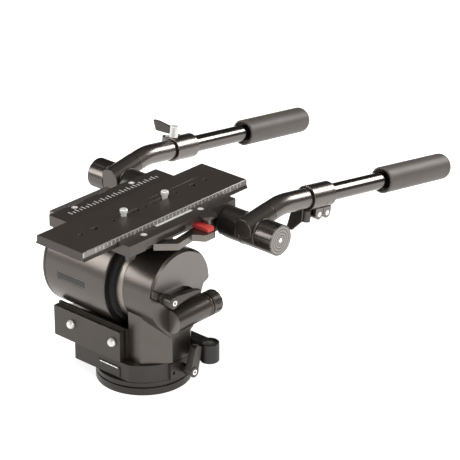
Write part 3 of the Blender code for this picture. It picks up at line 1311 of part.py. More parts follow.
def telescope(side):
    """Bent tube, collar, inner tube and grip, along the handle's line."""
    before, after = handle_directions(side)
    bend = bend_place(side)
    frame = along(after)
    start = bend - before * (SOCKET_START - SEAT)
    path = [start]
    for number in range(BEND_STEPS + 1):
        share = number / BEND_STEPS
        near = bend - before * BEND_REACH * (1 - share)
        far = bend + after * BEND_REACH * share
        path.append(near.lerp(far, share))
    tube_end = COLLAR_START + COLLAR_STEP - SEAT
    path.append(bend + after * tube_end)
    outer = tube(f"bent_tube_{label(side)}", path, TUBE_RADIUS, satin_grey())
    bore_path = [path[0] - before * OVERRUN] + path[1:-1] + [path[-1] + after * OVERRUN]
    cut(outer, tube(f"tube_bore_{side}", bore_path, TUBE_BORE))
    collar_end = COLLAR_START + COLLAR_LENGTH
    step = COLLAR_START + COLLAR_STEP
    collar_outline = [
        (INNER_RADIUS + SEAT, collar_end),
        (COLLAR_RADIUS - EDGE_BREAK, collar_end),
        (COLLAR_RADIUS, collar_end - EDGE_BREAK),
        (COLLAR_RADIUS, COLLAR_START + EDGE_BREAK),
        (COLLAR_RADIUS - EDGE_BREAK, COLLAR_START),
        (COLLAR_BORE, COLLAR_START),
        (COLLAR_BORE, step),
        (INNER_RADIUS + SEAT, step),
    ]
    collar = turned(f"collar_{label(side)}", collar_outline, bend, "Z", satin_grey(), MEDIUM_ROUND,
                    ring=True, turn=frame)
    world = Matrix.Translation(bend) @ frame
    flip = Matrix.Rotation(math.radians(180 if side == RIGHT else 0), 4, "Z")
    local = world @ flip
    for number, place in enumerate((COLLAR_LUG_FRONT, COLLAR_LUG_REAR)):
        centre = (COLLAR_LUG_DROP, COLLAR_START + place)
        lug_outline = arc(centre, LUG_PLATE_RADIUS, -90, 90, 6)
        root = (COLLAR_RADIUS + INNER_RADIUS) / 2
        lug_outline += [(root, centre[1] + LUG_PLATE_RADIUS), (root, centre[1] - LUG_PLATE_RADIUS)]
        lug = prism(f"collar_lug_{side}_{number}", lug_outline, -LUG_PLATE_THICKNESS / 2,
                    LUG_PLATE_THICKNESS / 2, "X", matrix=local)
        join(collar, lug)
    slit_root = COLLAR_RADIUS / 3
    slit_low = COLLAR_START + COLLAR_SLIT_PLACE - COLLAR_SLIT
    slit = box(f"collar_slit_{side}", (-COLLAR_RADIUS - OVERRUN, slit_root, slit_low),
               (COLLAR_RADIUS + OVERRUN, COLLAR_LUG_DROP + 2 * LUG_PLATE_RADIUS, slit_low + COLLAR_SLIT),
               matrix=local)
    cut(collar, slit)
    barrel_place = COLLAR_LUG_FRONT - LUG_PLATE_RADIUS - RUN_GAP - LEVER_BARREL_RADIUS
    barrel_at = local @ Matrix.Translation((0, 0, COLLAR_START + barrel_place))
    upright = Matrix.Rotation(math.radians(-90), 4, "X")
    seat = COLLAR_RADIUS + SEAT
    top = seat + LEVER_BARREL_HEIGHT
    barrel_turn = (frame @ flip @ upright)
    lever = turned(f"collar_lever_{label(side)}", rod(LEVER_BARREL_RADIUS, seat, top, EDGE_BREAK),
                   barrel_at.translation, "Z", bright_steel(), SMALL_ROUND, turn=barrel_turn)
    reach = LEVER_WING_LENGTH_RIGHT if side == RIGHT else LEVER_WING_LENGTH_LEFT
    wing_side = -side
    low_x, high_x = sorted((0, wing_side * (LEVER_BARREL_RADIUS + LEVER_WING_WIDTH)))
    wing = box(f"lever_wing_{side}", (low_x, seat + EDGE_BREAK, -LEVER_WING_THICKNESS / 2),
               (high_x, seat + reach, LEVER_WING_THICKNESS / 2), edge=EDGE_BREAK, matrix=barrel_at)
    join(lever, wing)
    inner_end = GRIP_START + GRIP_HOLD
    turned(f"inner_tube_{label(side)}", rod(INNER_RADIUS, INNER_START, inner_end, EDGE_BREAK), bend, "Z",
           black_tube(), MEDIUM_ROUND, turn=frame)
    end = GRIP_START + GRIP_LENGTH
    rounded = GRIP_END_ROUND
    dome = arc((GRIP_RADIUS - rounded, end - rounded), rounded, 90, 0, 5)
    hold = inner_end + SEAT
    grip_outline = [(0, end)] + dome + [
        (GRIP_RADIUS, GRIP_START + EDGE_BREAK),
        (GRIP_RADIUS - EDGE_BREAK, GRIP_START),
        (GRIP_MOUTH_RADIUS, GRIP_START),
        (GRIP_MOUTH_RADIUS, GRIP_START + GRIP_MOUTH_DEPTH),
        (INNER_RADIUS + SEAT, GRIP_START + GRIP_MOUTH_DEPTH),
        (INNER_RADIUS + SEAT, hold),
        (0, hold),
    ]
    turned(f"grip_{label(side)}", grip_outline, bend, "Z", foam(), MEDIUM_ROUND, turn=frame)


def guide(name, place, parent=None):
    """An empty on a joint's axis, to carry what moves with it."""
    empty = bpy.data.objects.new(name, None)
    empty.empty_display_size = HOUSING_RADIUS
    empty.location = place
    parts.objects.link(empty)
    if parent:
        attach([empty], parent)
    return empty


def attach(pieces, parent):
    bpy.context.view_layer.update()
    for piece in pieces:
        piece.parent = parent
        piece.matrix_parent_inverse = parent.matrix_world.inverted()


def named(*names):
    return [bpy.data.objects[name] for name in names]


def close_seams():
    """Merge the doubled points that a cut can leave on a seam."""
    for made in parts.objects:
        if made.type == "MESH" and any(step.type == "BOOLEAN" for step in made.modifiers):
            seam = made.modifiers.new("seams", "WELD")
            seam.merge_threshold = 2 * WELD


def build():
    base()
    bearing_low, bearing_high = pan_stack()
    pan_housing(bearing_low)
    yoke(bearing_high)
    end_cover()
    front_cover()
    drag_control()
    tilt_lock()
    pan_lock()
    level()
    tilt_fixed_rings()
    tilt_shaft()
    tilt_drum()
    platform()
    side_clamp()
    camera_plate()
    for side in (RIGHT, LEFT):
        handle_mount(side)
        telescope(side)
    close_seams()
    pan = guide("pan_joint", (0, 0, HOUSING_BOTTOM))
    tilt = guide("tilt_joint", TILT_AXIS, pan)
    slide = guide("plate_joint", (0, PLATE_CENTRE, PLATE_BOTTOM), tilt)
    attach(named("pan_bearing_lower", "pan_bearing_upper", "pan_housing", "yoke", "end_cover",
                 "front_cover", "cover_screw_left", "cover_screw_right", "drag_barrel", "drag_knob",
                 "tilt_lock_shaft", "tilt_lock_lever", "pan_lock_lever", "level_bracket", "level_vial",
                 "bezel_ring", "balance_hub", "tilt_bearing_left", "tilt_bearing_right"), pan)
    attach(named("tilt_axle", "tilt_drag_rotor", "tilt_drum", "drum_cap", "balance_dial",
                 "balance_spring", "platform", "rail_bar", "clamp_jaw", "clamp_lever",
                 "release_button", "handle_boss_right", "handle_boss_left"), tilt)
    attach(named(*(f"platform_screw_{number}" for number in range(1, 5))), tilt)
    attach(named("camera_plate", "stop_pin", "camera_screw_front", "camera_screw_rear"), slide)
    for side in (RIGHT, LEFT):
        pivot = guide(f"handle_joint_{label(side)}", handle_axis(), tilt)
        pieces = ("handle_socket", "handle_knob", "bent_tube", "collar", "collar_lever", "inner_tube",
                  "grip")
        attach(named(*(f"{piece}_{label(side)}" for piece in pieces)), pivot)


build()
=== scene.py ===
import math

import bmesh
import bpy
from mathutils import Matrix, Vector


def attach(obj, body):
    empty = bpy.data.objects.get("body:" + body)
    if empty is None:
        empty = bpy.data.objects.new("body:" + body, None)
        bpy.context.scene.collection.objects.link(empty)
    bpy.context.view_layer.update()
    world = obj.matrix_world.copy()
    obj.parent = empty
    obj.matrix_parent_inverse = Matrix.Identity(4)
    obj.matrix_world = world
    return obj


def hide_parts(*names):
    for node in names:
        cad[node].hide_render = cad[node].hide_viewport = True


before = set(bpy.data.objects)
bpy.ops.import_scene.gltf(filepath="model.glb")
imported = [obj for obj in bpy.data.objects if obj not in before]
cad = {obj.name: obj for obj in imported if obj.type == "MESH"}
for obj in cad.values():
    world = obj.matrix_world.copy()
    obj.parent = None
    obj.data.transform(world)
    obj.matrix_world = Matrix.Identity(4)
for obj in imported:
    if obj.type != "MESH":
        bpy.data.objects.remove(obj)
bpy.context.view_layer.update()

# Base flange
# A heavy turned disc that stands on the tripod or slider. It is machined from aluminium and coated in dark
# textured paint, with a groove round its rim, and four screws hold it from below.


class Shade:
    """A socket of a material's node tree. Arithmetic on it adds the Math nodes."""

    def __init__(self, tree, socket=None):
        self.tree = tree
        self.socket = socket

    def node(self, kind, settings=None, sockets=None, out=0):
        made = self.tree.nodes.new(kind)
        for name, value in (settings or {}).items():
            setattr(made, name, value)
        for name, value in (sockets or {}).items():
            if isinstance(value, Shade):
                self.tree.links.new(value.socket, made.inputs[name])
            else:
                made.inputs[name].default_value = value
        return Shade(self.tree, made.outputs[out])

    def math(self, operation, *others):
        values = dict(enumerate((self, *others)))
        return self.node("ShaderNodeMath", {"operation": operation}, values)

    def __add__(self, other):
        return self.math("ADD", other)

    __radd__ = __add__

    def __mul__(self, other):
        return self.math("MULTIPLY", other)

    __rmul__ = __mul__

    def __sub__(self, other):
        return self.math("SUBTRACT", other)

    def __rsub__(self, other):
        return self.node("ShaderNodeMath", {"operation": "SUBTRACT"}, {0: other, 1: self})

    def __pow__(self, other):
        return self.math("POWER", other)

    def __lt__(self, other):
        return self.math("LESS_THAN", other)

    def __gt__(self, other):
        return self.math("GREATER_THAN", other)

    def kept(self):
        """The value held between 0 and 1."""
        return self.node("ShaderNodeClamp", None, {"Value": self}, "Result")

    def tones(self, low, high):
        """A colour between two, by this value."""
        colours = {0: self, 6: (*low, 1), 7: (*high, 1)}
        return self.node("ShaderNodeMix", {"data_type": "RGBA"}, colours, 2)

    def noise(self, scale, detail=2.0, roughness=0.5):
        """Noise over this place."""
        values = {"Vector": self, "Scale": scale, "Detail": detail, "Roughness": roughness}
        return self.node("ShaderNodeTexNoise", None, values, "Fac")

    def bump(self, strength, distance):
        """The surface raised by this value."""
        values = {"Strength": strength, "Distance": distance, "Height": self}
        return self.node("ShaderNodeBump", None, values, "Normal")


def new_finish(name):
    """A fresh material, its shader node and its place on the object."""
    made = bpy.data.materials.new(name)
    made.use_nodes = True
    tree = made.node_tree
    place = Shade(tree).node("ShaderNodeTexCoord", None, None, "Object")
    return made, tree.nodes["Principled BSDF"], place


def wire(shader, start, sockets):
    """Set or link the shader's own sockets."""
    for name, value in sockets.items():
        if isinstance(value, Shade):
            start.tree.links.new(value.socket, shader.inputs[name])
        else:
            shader.inputs[name].default_value = value


def textured_paint(name, low, high, roughness, metallic, grain=1500.0, depth=0.35, vary=1.0):
    """Baked paint: a fine orange-peel grain, a faint cloudiness and a gloss that wanders with both."""
    made, shader, place = new_finish(name)
    cloud = place.noise(42.0, 3.0)
    grains = place.noise(grain, 2.0, 0.6)
    peel = place.noise(grain / 4, 1.0)
    wire(shader, place, {
        "Base Color": (cloud * 0.55 + grains * 0.45).kept().tones(low, high),
        "Roughness": roughness - 0.09 * vary + cloud * (0.08 * vary) + grains * (0.10 * vary),
        "Metallic": metallic,
        "Normal": (grains * 0.6 + peel * 0.4).bump(depth, 0.00012),
    })
    return made


def softened(outline, radius, closed=True, steps=3):
    """Round every corner of an outline by short arcs."""
    found = []
    count = len(outline)
    for number, corner in enumerate(outline):
        if not closed and number in (0, count - 1):
            found.append(tuple(corner))
            continue
        here = Vector(corner)
        before = Vector(outline[number - 1]) - here
        after = Vector(outline[(number + 1) % count]) - here
        if before.length < 1e-7 or after.length < 1e-7 or before.angle(after) > math.radians(165):
            found.append(tuple(corner))
            continue
        reach = min(radius, before.length * 0.45, after.length * 0.45)
        first = here + before.normalized() * reach
        last = here + after.normalized() * reach
        for step in range(steps + 1):
            share = step / steps
            bend = first.lerp(here, share).lerp(here.lerp(last, share), share)
            found.append(tuple(bend))
    return found


def meshed(shape, matrix):
    """A mesh from the shape, faced outward and put in its place."""
    bmesh.ops.recalc_face_normals(shape, faces=shape.faces)
    shape.transform(matrix)
    mesh = bpy.data.meshes.new("shape")
    shape.to_mesh(mesh)
    shape.free()
    return mesh


UP = Matrix.Identity(4)


def spun(outline, matrix=UP, steps=96, ring=False, edge=0.0006):
    """A mesh turned about Z from (radius, height) points. An open outline starts and ends on the axis."""
    points = softened(outline, edge, closed=ring) if edge else list(outline)
    shape = bmesh.new()
    rings = []
    for radius, height in points:
        if radius < 1e-7:
            rings.append([shape.verts.new((0, 0, height))])
            continue
        circle = []
        for step in range(steps):
            angle = math.tau * step / steps
            circle.append(shape.verts.new((radius * math.cos(angle), radius * math.sin(angle), height)))
        rings.append(circle)
    pairs = list(zip(rings, rings[1:]))
    if ring:
        pairs.append((rings[-1], rings[0]))
    for low, high in pairs:
        for step in range(steps):
            after = (step + 1) % steps
            corners = [low[step % len(low)], low[after % len(low)]]
            corners += [high[after % len(high)], high[step % len(high)]]
            face = [vert for number, vert in enumerate(corners) if vert not in corners[:number]]
            if len(face) > 2:
                shape.faces.new(face)
    return meshed(shape, matrix)


def rod(radius, first, last, matrix=UP, steps=64, edge=0):
    """A round bar, or the cutter of a round hole, between two heights."""
    return spun([(0, first), (radius, first), (radius, last), (0, last)], matrix, steps, edge=edge)


def at(x, y, z):
    return Matrix.Translation((x, y, z))


def turned(degrees, axis):
    return Matrix.Rotation(math.radians(degrees), 4, axis)


def shown(name, data):
    """A new object in the scene."""
    made = bpy.data.objects.new(name, data)
    bpy.context.scene.collection.objects.link(made)
    return made


def dress(name, mesh, finish, body, slot, *replaced):
    """Show a mesh as a piece that rides on a body and stands for the CAD nodes named."""
    piece = shown(name, mesh)
    mesh.materials.clear()
    mesh.materials.append(finish)
    mesh.shade_smooth()
    mesh.set_sharp_from_angle(angle=math.radians(35))
    even = piece.modifiers.new("even shading", "WEIGHTED_NORMAL")
    even.keep_sharp = True
    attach(piece, body)
    if replaced:
        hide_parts(*replaced)
    return piece


def carved(mesh, cutters, operation="DIFFERENCE"):
    """The mesh after each cutter mesh has been taken from it, or joined to it."""
    work = shown("work", mesh)
    helpers = []
    for cutter in cutters:
        helpers.append(shown("cutter", cutter))
        step = work.modifiers.new("step", "BOOLEAN")
        step.operation = operation
        step.object = helpers[-1]
        step.solver = "EXACT"
    bpy.context.view_layer.update()
    graph = bpy.context.evaluated_depsgraph_get()
    result = bpy.data.meshes.new_from_object(work.evaluated_get(graph))
    for helper in [work, *helpers]:
        bpy.data.objects.remove(helper)
    shape = bmesh.new()
    shape.from_mesh(result)
    bmesh.ops.remove_doubles(shape, verts=shape.verts, dist=0.000002)
    bmesh.ops.dissolve_degenerate(shape, edges=shape.edges, dist=0.000002)
    shape.to_mesh(result)
    shape.free()
    return result


dark_paint = textured_paint("dark_textured_paint", (0.032, 0.028, 0.025), (0.052, 0.046, 0.041), 0.42, 0.45)
base_radius = 0.050
base_top = 0.0146
groove_high = 0.0096
groove_low = 0.0080
groove_floor = 0.0476
base_outline = [(0, base_top), (base_radius, base_top), (base_radius, groove_high), (groove_floor, groove_high),
                (groove_floor, groove_low), (base_radius, groove_low), (base_radius, 0), (0, 0)]
bolt_circle = 0.034
bolt_cuts = []
for bolt_number in range(4):
    bolt_angle = math.tau * (bolt_number + 0.5) / 4
    bolt_place = at(bolt_circle * math.cos(bolt_angle), bolt_circle * math.sin(bolt_angle), 0)
    bolt_cuts.append(rod(0.0032, -0.002, 0.008, bolt_place, 32))
base_mesh = carved(spun(base_outline, UP, 160), bolt_cuts)
dress("base_disc", base_mesh, dark_paint, "base", "dark_paint", "base_flange")

# Pan axle, drag rotor and bearings
# Turned and ground steel pieces inside the housing, between the base and the casting. They are hidden when the
# head is whole, so the solids stay and take the bright steel finish with its fine lathe lines.


def turned_steel(name, stretch, low, high, roughness):
    """Bright steel with fine tool lines: the noise is drawn out along the cut."""
    made, shader, place = new_finish(name)
    drawn = place.node("ShaderNodeMapping", None, {"Vector": place, "Scale": stretch}, "Vector")
    lines = drawn.noise(1.0, 3.0, 0.65)
    cloud = place.noise(90.0, 2.0)
    wire(shader, place, {
        "Base Color": (lines * 0.7 + cloud * 0.3).kept().tones(low, high),
        "Roughness": roughness - 0.05 + lines * 0.14 + cloud * 0.05,
        "Metallic": 1.0,
        "Normal": lines.bump(0.12, 0.00006),
    })
    return made


steel = turned_steel("bright_turned_steel", (900.0, 900.0, 2600.0), (0.50, 0.49, 0.47), (0.78, 0.77, 0.75), 0.2)
hidden_steel = ("pan_axle", "pan_drag_rotor", "pan_bearing_lower", "pan_bearing_upper", "tilt_bearing_left",
                "tilt_bearing_right", "tilt_axle", "tilt_drag_rotor", "balance_spring")
for steel_name in hidden_steel:
    for steel_slot in cad[steel_name].material_slots:
        steel_slot.material = steel

# Pan housing
# A low cast band that turns on the base, flat in front with a proud scale window, and with a clamp ear on
# the control side. A bright steel strip in the window's top slot is a painted highlight along its top edge.
# It has the same dark textured paint as the base.


def joined(mesh, *others):
    return carved(mesh, others, "UNION")


def eased(piece, width, segments=3, angle=38):
    """Break the piece's sharp edges with small rounds, before its shading is evened."""
    bevel = piece.modifiers.new("rounded edges", "BEVEL")
    bevel.width = width
    bevel.segments = segments
    bevel.limit_method = "ANGLE"
    bevel.angle_limit = math.radians(angle)
    bevel.use_clamp_overlap = True
    bevel.harden_normals = False
    piece.modifiers.move(piece.modifiers.find(bevel.name), 0)
    return piece


def block(low, high, matrix=UP):
    """A mesh box between two corners."""
    low = Vector(low)
    high = Vector(high)
    shape = bmesh.new()
    bmesh.ops.create_cube(shape, size=1)
    bmesh.ops.scale(shape, vec=high - low, verts=shape.verts)
    bmesh.ops.translate(shape, vec=(low + high) / 2, verts=shape.verts)
    return meshed(shape, matrix)


def slab(outline, low, high, axis="Z", matrix=UP, edge=0.0, steps=3):
    """A flat outline given thickness: (X, Y) outlines along Z, (Y, Z) along X and (X, Z) along Y."""
    points = softened(outline, edge, steps=steps) if edge else outline
    turn = {
        "Z": lambda a, b, h: (a, b, h),
        "X": lambda a, b, h: (h, a, b),
        "Y": lambda a, b, h: (a, h, b),
    }[axis]
    shape = bmesh.new()
    lower = [shape.verts.new(turn(a, b, low)) for a, b in points]
    upper = [shape.verts.new(turn(a, b, high)) for a, b in points]
    shape.faces.new(lower)
    shape.faces.new(upper)
    for number in range(len(points)):
        after = (number + 1) % len(points)
        shape.faces.new((lower[number], lower[after], upper[after], upper[number]))
    return meshed(shape, matrix)


ALONG_X = turned(90, "Y")
ALONG_Y = turned(-90, "X")
band_radius = 0.052
housing_low = 0.0160
housing_high = 0.0350
flat = 0.0466
arm_left = -0.0558
window_sill = housing_low + 0.0010
housing = rod(band_radius, housing_high, housing_low, UP, 128)
housing = carved(housing, [block((-0.06, -flat, 0.01), (0.06, flat, 0.04))], "INTERSECT")
arm_plan = softened([(arm_left, -flat), (0, -flat), (0, flat), (arm_left, flat)], 0.004, steps=5)
window_frame = [(-0.0197, window_sill), (0.0115, window_sill), (0.0115, 0.0286), (-0.0197, 0.0286)]
housing = joined(
    housing,
    slab(arm_plan, housing_low, housing_high),
    block((0.042, -0.0155, housing_low), (0.053, 0.0195, housing_high - 0.0008)),
    slab(window_frame, -flat - 0.0010, -flat + 0.002, "Y", edge=0.0012),
)
housing = carved(housing, [
    rod(0.0375, 0.014, 0.0214),
    rod(0.0243, 0.02, 0.0289),
    rod(0.0125, 0.02, 0.04),
    block((-0.0172, -0.05, 0.0262), (0.0090, -flat - 0.0001, 0.0278)),
    rod(0.0017, -0.005, 0.002, at(0.053, -0.0108, 0.0223) @ ALONG_X, 32),
    rod(0.0033, -0.0066, 0.002, at(0.053, 0.002, 0.0245) @ ALONG_X, 32),
])
eased(dress("pan_band", housing, dark_paint, "pan_group", "dark_paint", "pan_housing"), 0.0006)
# The bright steel strip in the window's top slot is a painted highlight along the window's top edge.
window_highlight_steel = turned_steel("scale_window_strip", (300.0, 300.0, 300.0), (0.60, 0.59, 0.57), (0.85, 0.84, 0.82),
                          0.3)
window_strip = block((-0.0170, -flat - 0.0008, 0.0263), (0.0088, -flat + 0.0004, 0.0277))
eased(dress("window_strip", window_strip, window_highlight_steel, "pan_group", "bright_steel"), 0.0002)

# Tower casting with the control-side drum
# One aluminium casting: the round head that holds the tilt bearings, its neck with slanted front facets, and
# the box under the counterbalance drum. It is painted in satin warm grey that shows a soft metallic sheen.

tilt_z = 0.1125
TILT = at(0, 0, tilt_z)
TILT_AXIS = TILT @ ALONG_X


def arc(centre, radius, start, end, steps):
    """Points on an arc, with its angles in degrees."""
    found = []
    for number in range(steps + 1):
        angle = math.radians(start + (end - start) * number / steps)
        found.append((centre[0] + radius * math.cos(angle), centre[1] + radius * math.sin(angle)))
    return found


satin_paint = textured_paint("satin_warm_grey_paint", (0.090, 0.080, 0.072), (0.122, 0.109, 0.098), 0.30, 0.92,
                             grain=2400.0, depth=0.10, vary=0.5)
head_radius = 0.0437
head_left = 0.0143
head_right = 0.0535
tower_foot = 0.0353
box_left = -0.0816
heel = [(0.0310, 0.1028), (0.0334, 0.1087)]
head_side = [(0.0128, tower_foot), (0.0128, 0.0625), (0.0178, 0.0656), (0.0212, 0.0704)] + heel
head_side += arc((0, tilt_z), head_radius, 1.6, 223.65, 110)
head_side += [(-0.0128, 0.0625), (-0.0128, tower_foot)]
casting = slab(head_side, head_left, head_right, "X")
neck_plan = [(head_left, -0.0375), (0.0317, -0.0375), (head_right, -0.0128), (head_right, 0.0128),
             (0.0317, 0.0375), (head_left, 0.0375)]
cradle = rod(0.0562, -0.0836, head_left, TILT_AXIS, 160)
under_box = carved(block((box_left, -0.0411, tower_foot), (0.0163, 0.0380, 0.0712)), [cradle])
neck = slab(neck_plan, tower_foot, tilt_z - head_radius * 0.4, edge=0.0022, steps=4)
casting = joined(casting, neck, under_box)
ledge = [(-0.0477, 0.1333), (-0.0405, 0.1283)]
notch_top = ledge + [(-0.0295, 0.1207), (-0.0216, 0.1186), (0.0019, 0.1175), (0.0111, 0.1137), (0.0222, 0.1055)]
notch_pocket = [(-0.0330, 0.1121), (-0.0302, 0.1212)] + notch_top[2:] + [(0.0222, 0.1005), (-0.0205, 0.0998)]
notch_step = ledge + [(-0.0302, 0.1212), (-0.0330, 0.1121), (-0.0440, 0.1193), (-0.0477, 0.1217)]
lid_seat = notch_top + [(0.0477, 0.0977), (0.0477, 0.1700), (-0.0477, 0.1700)]
BARREL = at(0.0558, 0, 0.0846) @ ALONG_Y
casting = carved(casting, [
    rod(0.0263, 0.0123, 0.0383, TILT_AXIS, 96),
    slab(lid_seat, 0.0504, 0.0600, "X"),
    slab(notch_pocket, 0.0425, 0.0565, "X"),
    slab(notch_step, 0.0516, 0.0560, "X"),
    rod(0.0134, -0.0178, 0.06, BARREL, 96),
    rod(0.0243, 0.03, 0.0549),
    rod(0.0045, -0.0023, 0.002, at(0.0425, -0.0268, 0.1139) @ ALONG_X, 32),
])
eased(dress("tower_casting", casting, satin_paint, "pan_group", "satin_grey_paint", "yoke"), 0.0005)
light_paint = textured_paint("light_grey_face_paint", (0.175, 0.161, 0.152), (0.215, 0.199, 0.188), 0.38, 0.75,
                             grain=2600.0, depth=0.12)
step_outline = [(-0.0402, 0.1268), (-0.0312, 0.1206), (-0.0334, 0.1136), (-0.0404, 0.1182)]
step_plate = slab(step_outline, 0.0514, 0.0524, "X")
eased(dress("step_plate", step_plate, light_paint, "pan_group", "light_grey_face"), 0.0002, 2)

# Cover plate on the end of the head
# A thin turned lid with a broad chamfer, which seats in a shallow step of the head and is cut along the slanted
# notch. Its flat face is painted a lighter grey than the chamfer.


def repainted(piece, finish, chosen):
    """Give the chosen faces of a piece a second finish."""
    piece.data.materials.append(finish)
    for face in piece.data.polygons:
        if chosen(face):
            face.material_index = 1


lid_outline = [(0, 0.0538), (0.0412, 0.0538), (head_radius, 0.0513), (head_radius, 0.0507), (0, 0.0507)]
lid_field = notch_top + heel + [(0.0477, 0.1156), (0.0477, 0.17), (-0.0477, 0.17)]
lid = carved(spun(lid_outline, TILT_AXIS, 160, edge=0.0003), [slab(lid_field, 0.05, 0.055, "X")], "INTERSECT")
lid_piece = eased(dress("head_lid", lid, light_paint, "pan_group", "light_grey_face", "end_cover"), 0.0003, 2)
repainted(lid_piece, satin_paint, lambda face: face.normal.x < 0.9)

# Front cover plate and its two screws
# A thick machined plate over the front of the box, painted darker than the casting. Two domed screws with
# bright heads go through it.

plate_paint = textured_paint("front_plate_paint", (0.060, 0.053, 0.047), (0.084, 0.075, 0.067), 0.36, 0.85,
                             grain=2400.0, depth=0.15)
AHEAD = turned(90, "X")
front_face = -0.0485
cover_screw_z = 0.0557
cover_screws = {"cover_screw_left": -0.0556, "cover_screw_right": 0.0034}
screw_cuts = []
for screw_x in cover_screws.values():
    screw_cuts.append(rod(0.0028, -0.0033, 0.002, at(screw_x, front_face, cover_screw_z) @ AHEAD, 32))
front_plate = carved(block((box_left, front_face, tower_foot), (0.0134, -0.0414, 0.0693)), screw_cuts)
eased(dress("front_plate", front_plate, plate_paint, "pan_group", "satin_grey_paint", "front_cover"), 0.0006)
# Near-white steel for the screw heads, the jaw and the left lever hub: its whiteness is a painted reflection of
# the white surroundings in the bright metal.
steel_with_painted_reflection = textured_paint("bright_screw_face", (0.78, 0.77, 0.75), (0.92, 0.91, 0.89), 0.34, 0.35,
                             grain=900.0, depth=0.06)
dome = [(0, 0.0042), (0.0030, 0.0042), (0.0041, 0.0031), (0.0047, 0.0014), (0.0047, 0), (0.0025, 0),
        (0.0025, -0.0030), (0, -0.0030)]
for screw_name, screw_x in cover_screws.items():
    screw_dome = spun(dome, at(screw_x, front_face - 0.0003, cover_screw_z) @ AHEAD, 48, edge=0.0002)
    dress(f"{screw_name}_dome", screw_dome, steel_with_painted_reflection, "pan_group", "bright_steel", screw_name)

# Bezel ring and the hub in the gap
# The ring on the inner end of the head is turned bright, with lathe lines round it. The wide black hub beside
# it carries the counterbalance and fills the gap between the two drums.

bezel_finish = turned_steel("bezel_turned_lines", (5200.0, 40.0, 40.0), (0.22, 0.195, 0.17), (0.38, 0.34, 0.30),
                            0.40)
hub_bore = 0.0094
bezel = [(hub_bore, 0.0140), (head_radius, 0.0140), (head_radius, 0.0048), (hub_bore, 0.0048)]
dress("bezel", spun(bezel, TILT_AXIS, 160, ring=True, edge=0.0007), bezel_finish, "pan_group", "bright_steel",
      "bezel_ring")


def moulded_black(name, low, high, roughness):
    """Black moulding: a close matt grain over a smooth skin."""
    made, shader, place = new_finish(name)
    grain = place.noise(1900.0, 2.0, 0.6)
    cloud = place.noise(60.0, 2.0)
    wire(shader, place, {
        "Base Color": (cloud * 0.5 + grain * 0.5).kept().tones(low, high),
        "Roughness": roughness - 0.05 + grain * 0.1,
        "Normal": grain.bump(0.2, 0.0001),
    })
    return made


gap_black = moulded_black("gap_black", (0.0015, 0.0014, 0.0013), (0.004, 0.0036, 0.0033), 0.85)
sleeve_radius = 0.0150
hub = [(hub_bore, 0.0045), (0.0484, 0.0045), (0.0484, -0.0013), (sleeve_radius, -0.0013),
       (sleeve_radius, -0.0433), (hub_bore, -0.0433)]
dress("gap_hub", spun(hub, TILT_AXIS, 128, ring=True, edge=0.0005), gap_black, "pan_group", "black_plastic",
      "balance_hub")

# Drag barrel and its knob
# A turned and painted barrel, let into the head, sets the tilt drag. A ringed neck joins it to the fluted knob
# that turns at its rear end.

barrel_radius = 0.0127
barrel_neck = 0.0117
barrel = [(0, 0.0351), (barrel_neck, 0.0351), (barrel_neck, 0.0335), (barrel_radius, 0.0335),
          (barrel_radius, 0.0318), (barrel_neck, 0.0318), (barrel_neck, 0.0285), (barrel_radius, 0.0285),
          (barrel_radius, -0.0175), (0, -0.0175)]
barrel_piece = dress("drag_barrel_body", spun(barrel, BARREL, 96, edge=0.0004), satin_paint, "pan_group",
                     "satin_grey_paint", "drag_barrel")
repainted(barrel_piece, light_paint, lambda face: face.normal.y < -0.9)
knob_shape = [(0, 0.0480), (0.0119, 0.0480), (barrel_radius, 0.0465), (barrel_radius, 0.0354), (0, 0.0354)]
flutes = []
for flute_number in range(12):
    flute_turn = turned(30 * (flute_number + 0.5), "Z")
    flutes.append(block((0.0113, -0.0009, 0.0385), (0.016, 0.0009, 0.050), BARREL @ flute_turn))
drag_knob = carved(spun(knob_shape, BARREL, 120, edge=0.0008), flutes)
drag_knob_piece = dress("drag_knob_body", drag_knob, satin_paint, "drag_knob_body", "satin_grey_paint",
                        "drag_knob")
eased(drag_knob_piece, 0.0003, 2)

# Tilt lock
# A turned shaft with a collar crosses the notch. The painted cast lever on its end clamps the tilt, and a small
# bright screw stands in the middle of the lever's hub.

LOCK = at(0, -0.0268, 0.1139)
LOCK_AXIS = LOCK @ ALONG_X
shaft_radius = 0.0042
collar_radius = 0.0050
shaft_outline = [(0, 0.0697), (shaft_radius, 0.0697), (shaft_radius, 0.0572), (collar_radius, 0.0572),
                 (collar_radius, 0.0405), (0, 0.0405)]
dress("lock_shaft", spun(shaft_outline, LOCK_AXIS, 64, edge=0.0004), light_paint, "pan_group", "bright_steel",
      "tilt_lock_shaft")
lever_paint = textured_paint("cast_lever_paint", (0.062, 0.055, 0.049), (0.095, 0.085, 0.077), 0.32, 0.85,
                             grain=1800.0, depth=0.16, vary=0.6)
lever_side = [(0, 0.0065), (0.0162, 0.0040), (0.0305, 0.0026), (0.0404, -0.0004), (0.0390, -0.0022),
              (0.0226, -0.0018), (0.0113, -0.0037), (0, -0.0065)]
lever = joined(rod(0.0066, 0.0705, 0.0575, LOCK_AXIS, 64, 0.0008), slab(lever_side, 0.0628, 0.0694, "X", LOCK))
lever = carved(lever, [rod(0.0045, 0.0700, 0.0560, LOCK_AXIS, 48), rod(0.0032, 0.0720, 0.0701, LOCK_AXIS, 48)])
eased(dress("tilt_lever", lever, lever_paint, "tilt_lock_body", "dark_paint", "tilt_lock_lever"), 0.0005, 2)
chrome = turned_steel("chrome_screw", (500.0, 500.0, 500.0), (0.86, 0.85, 0.84), (0.97, 0.96, 0.95), 0.20)


def socket_screw(radius, height, recess, matrix, steps=40):
    """A small screw head with its drive recess."""
    outline = [(0, height - recess), (radius * 0.5, height - recess), (radius * 0.5, height), (radius, height),
               (radius, 0), (0, 0)]
    return spun(outline, matrix, steps, edge=0.0002)


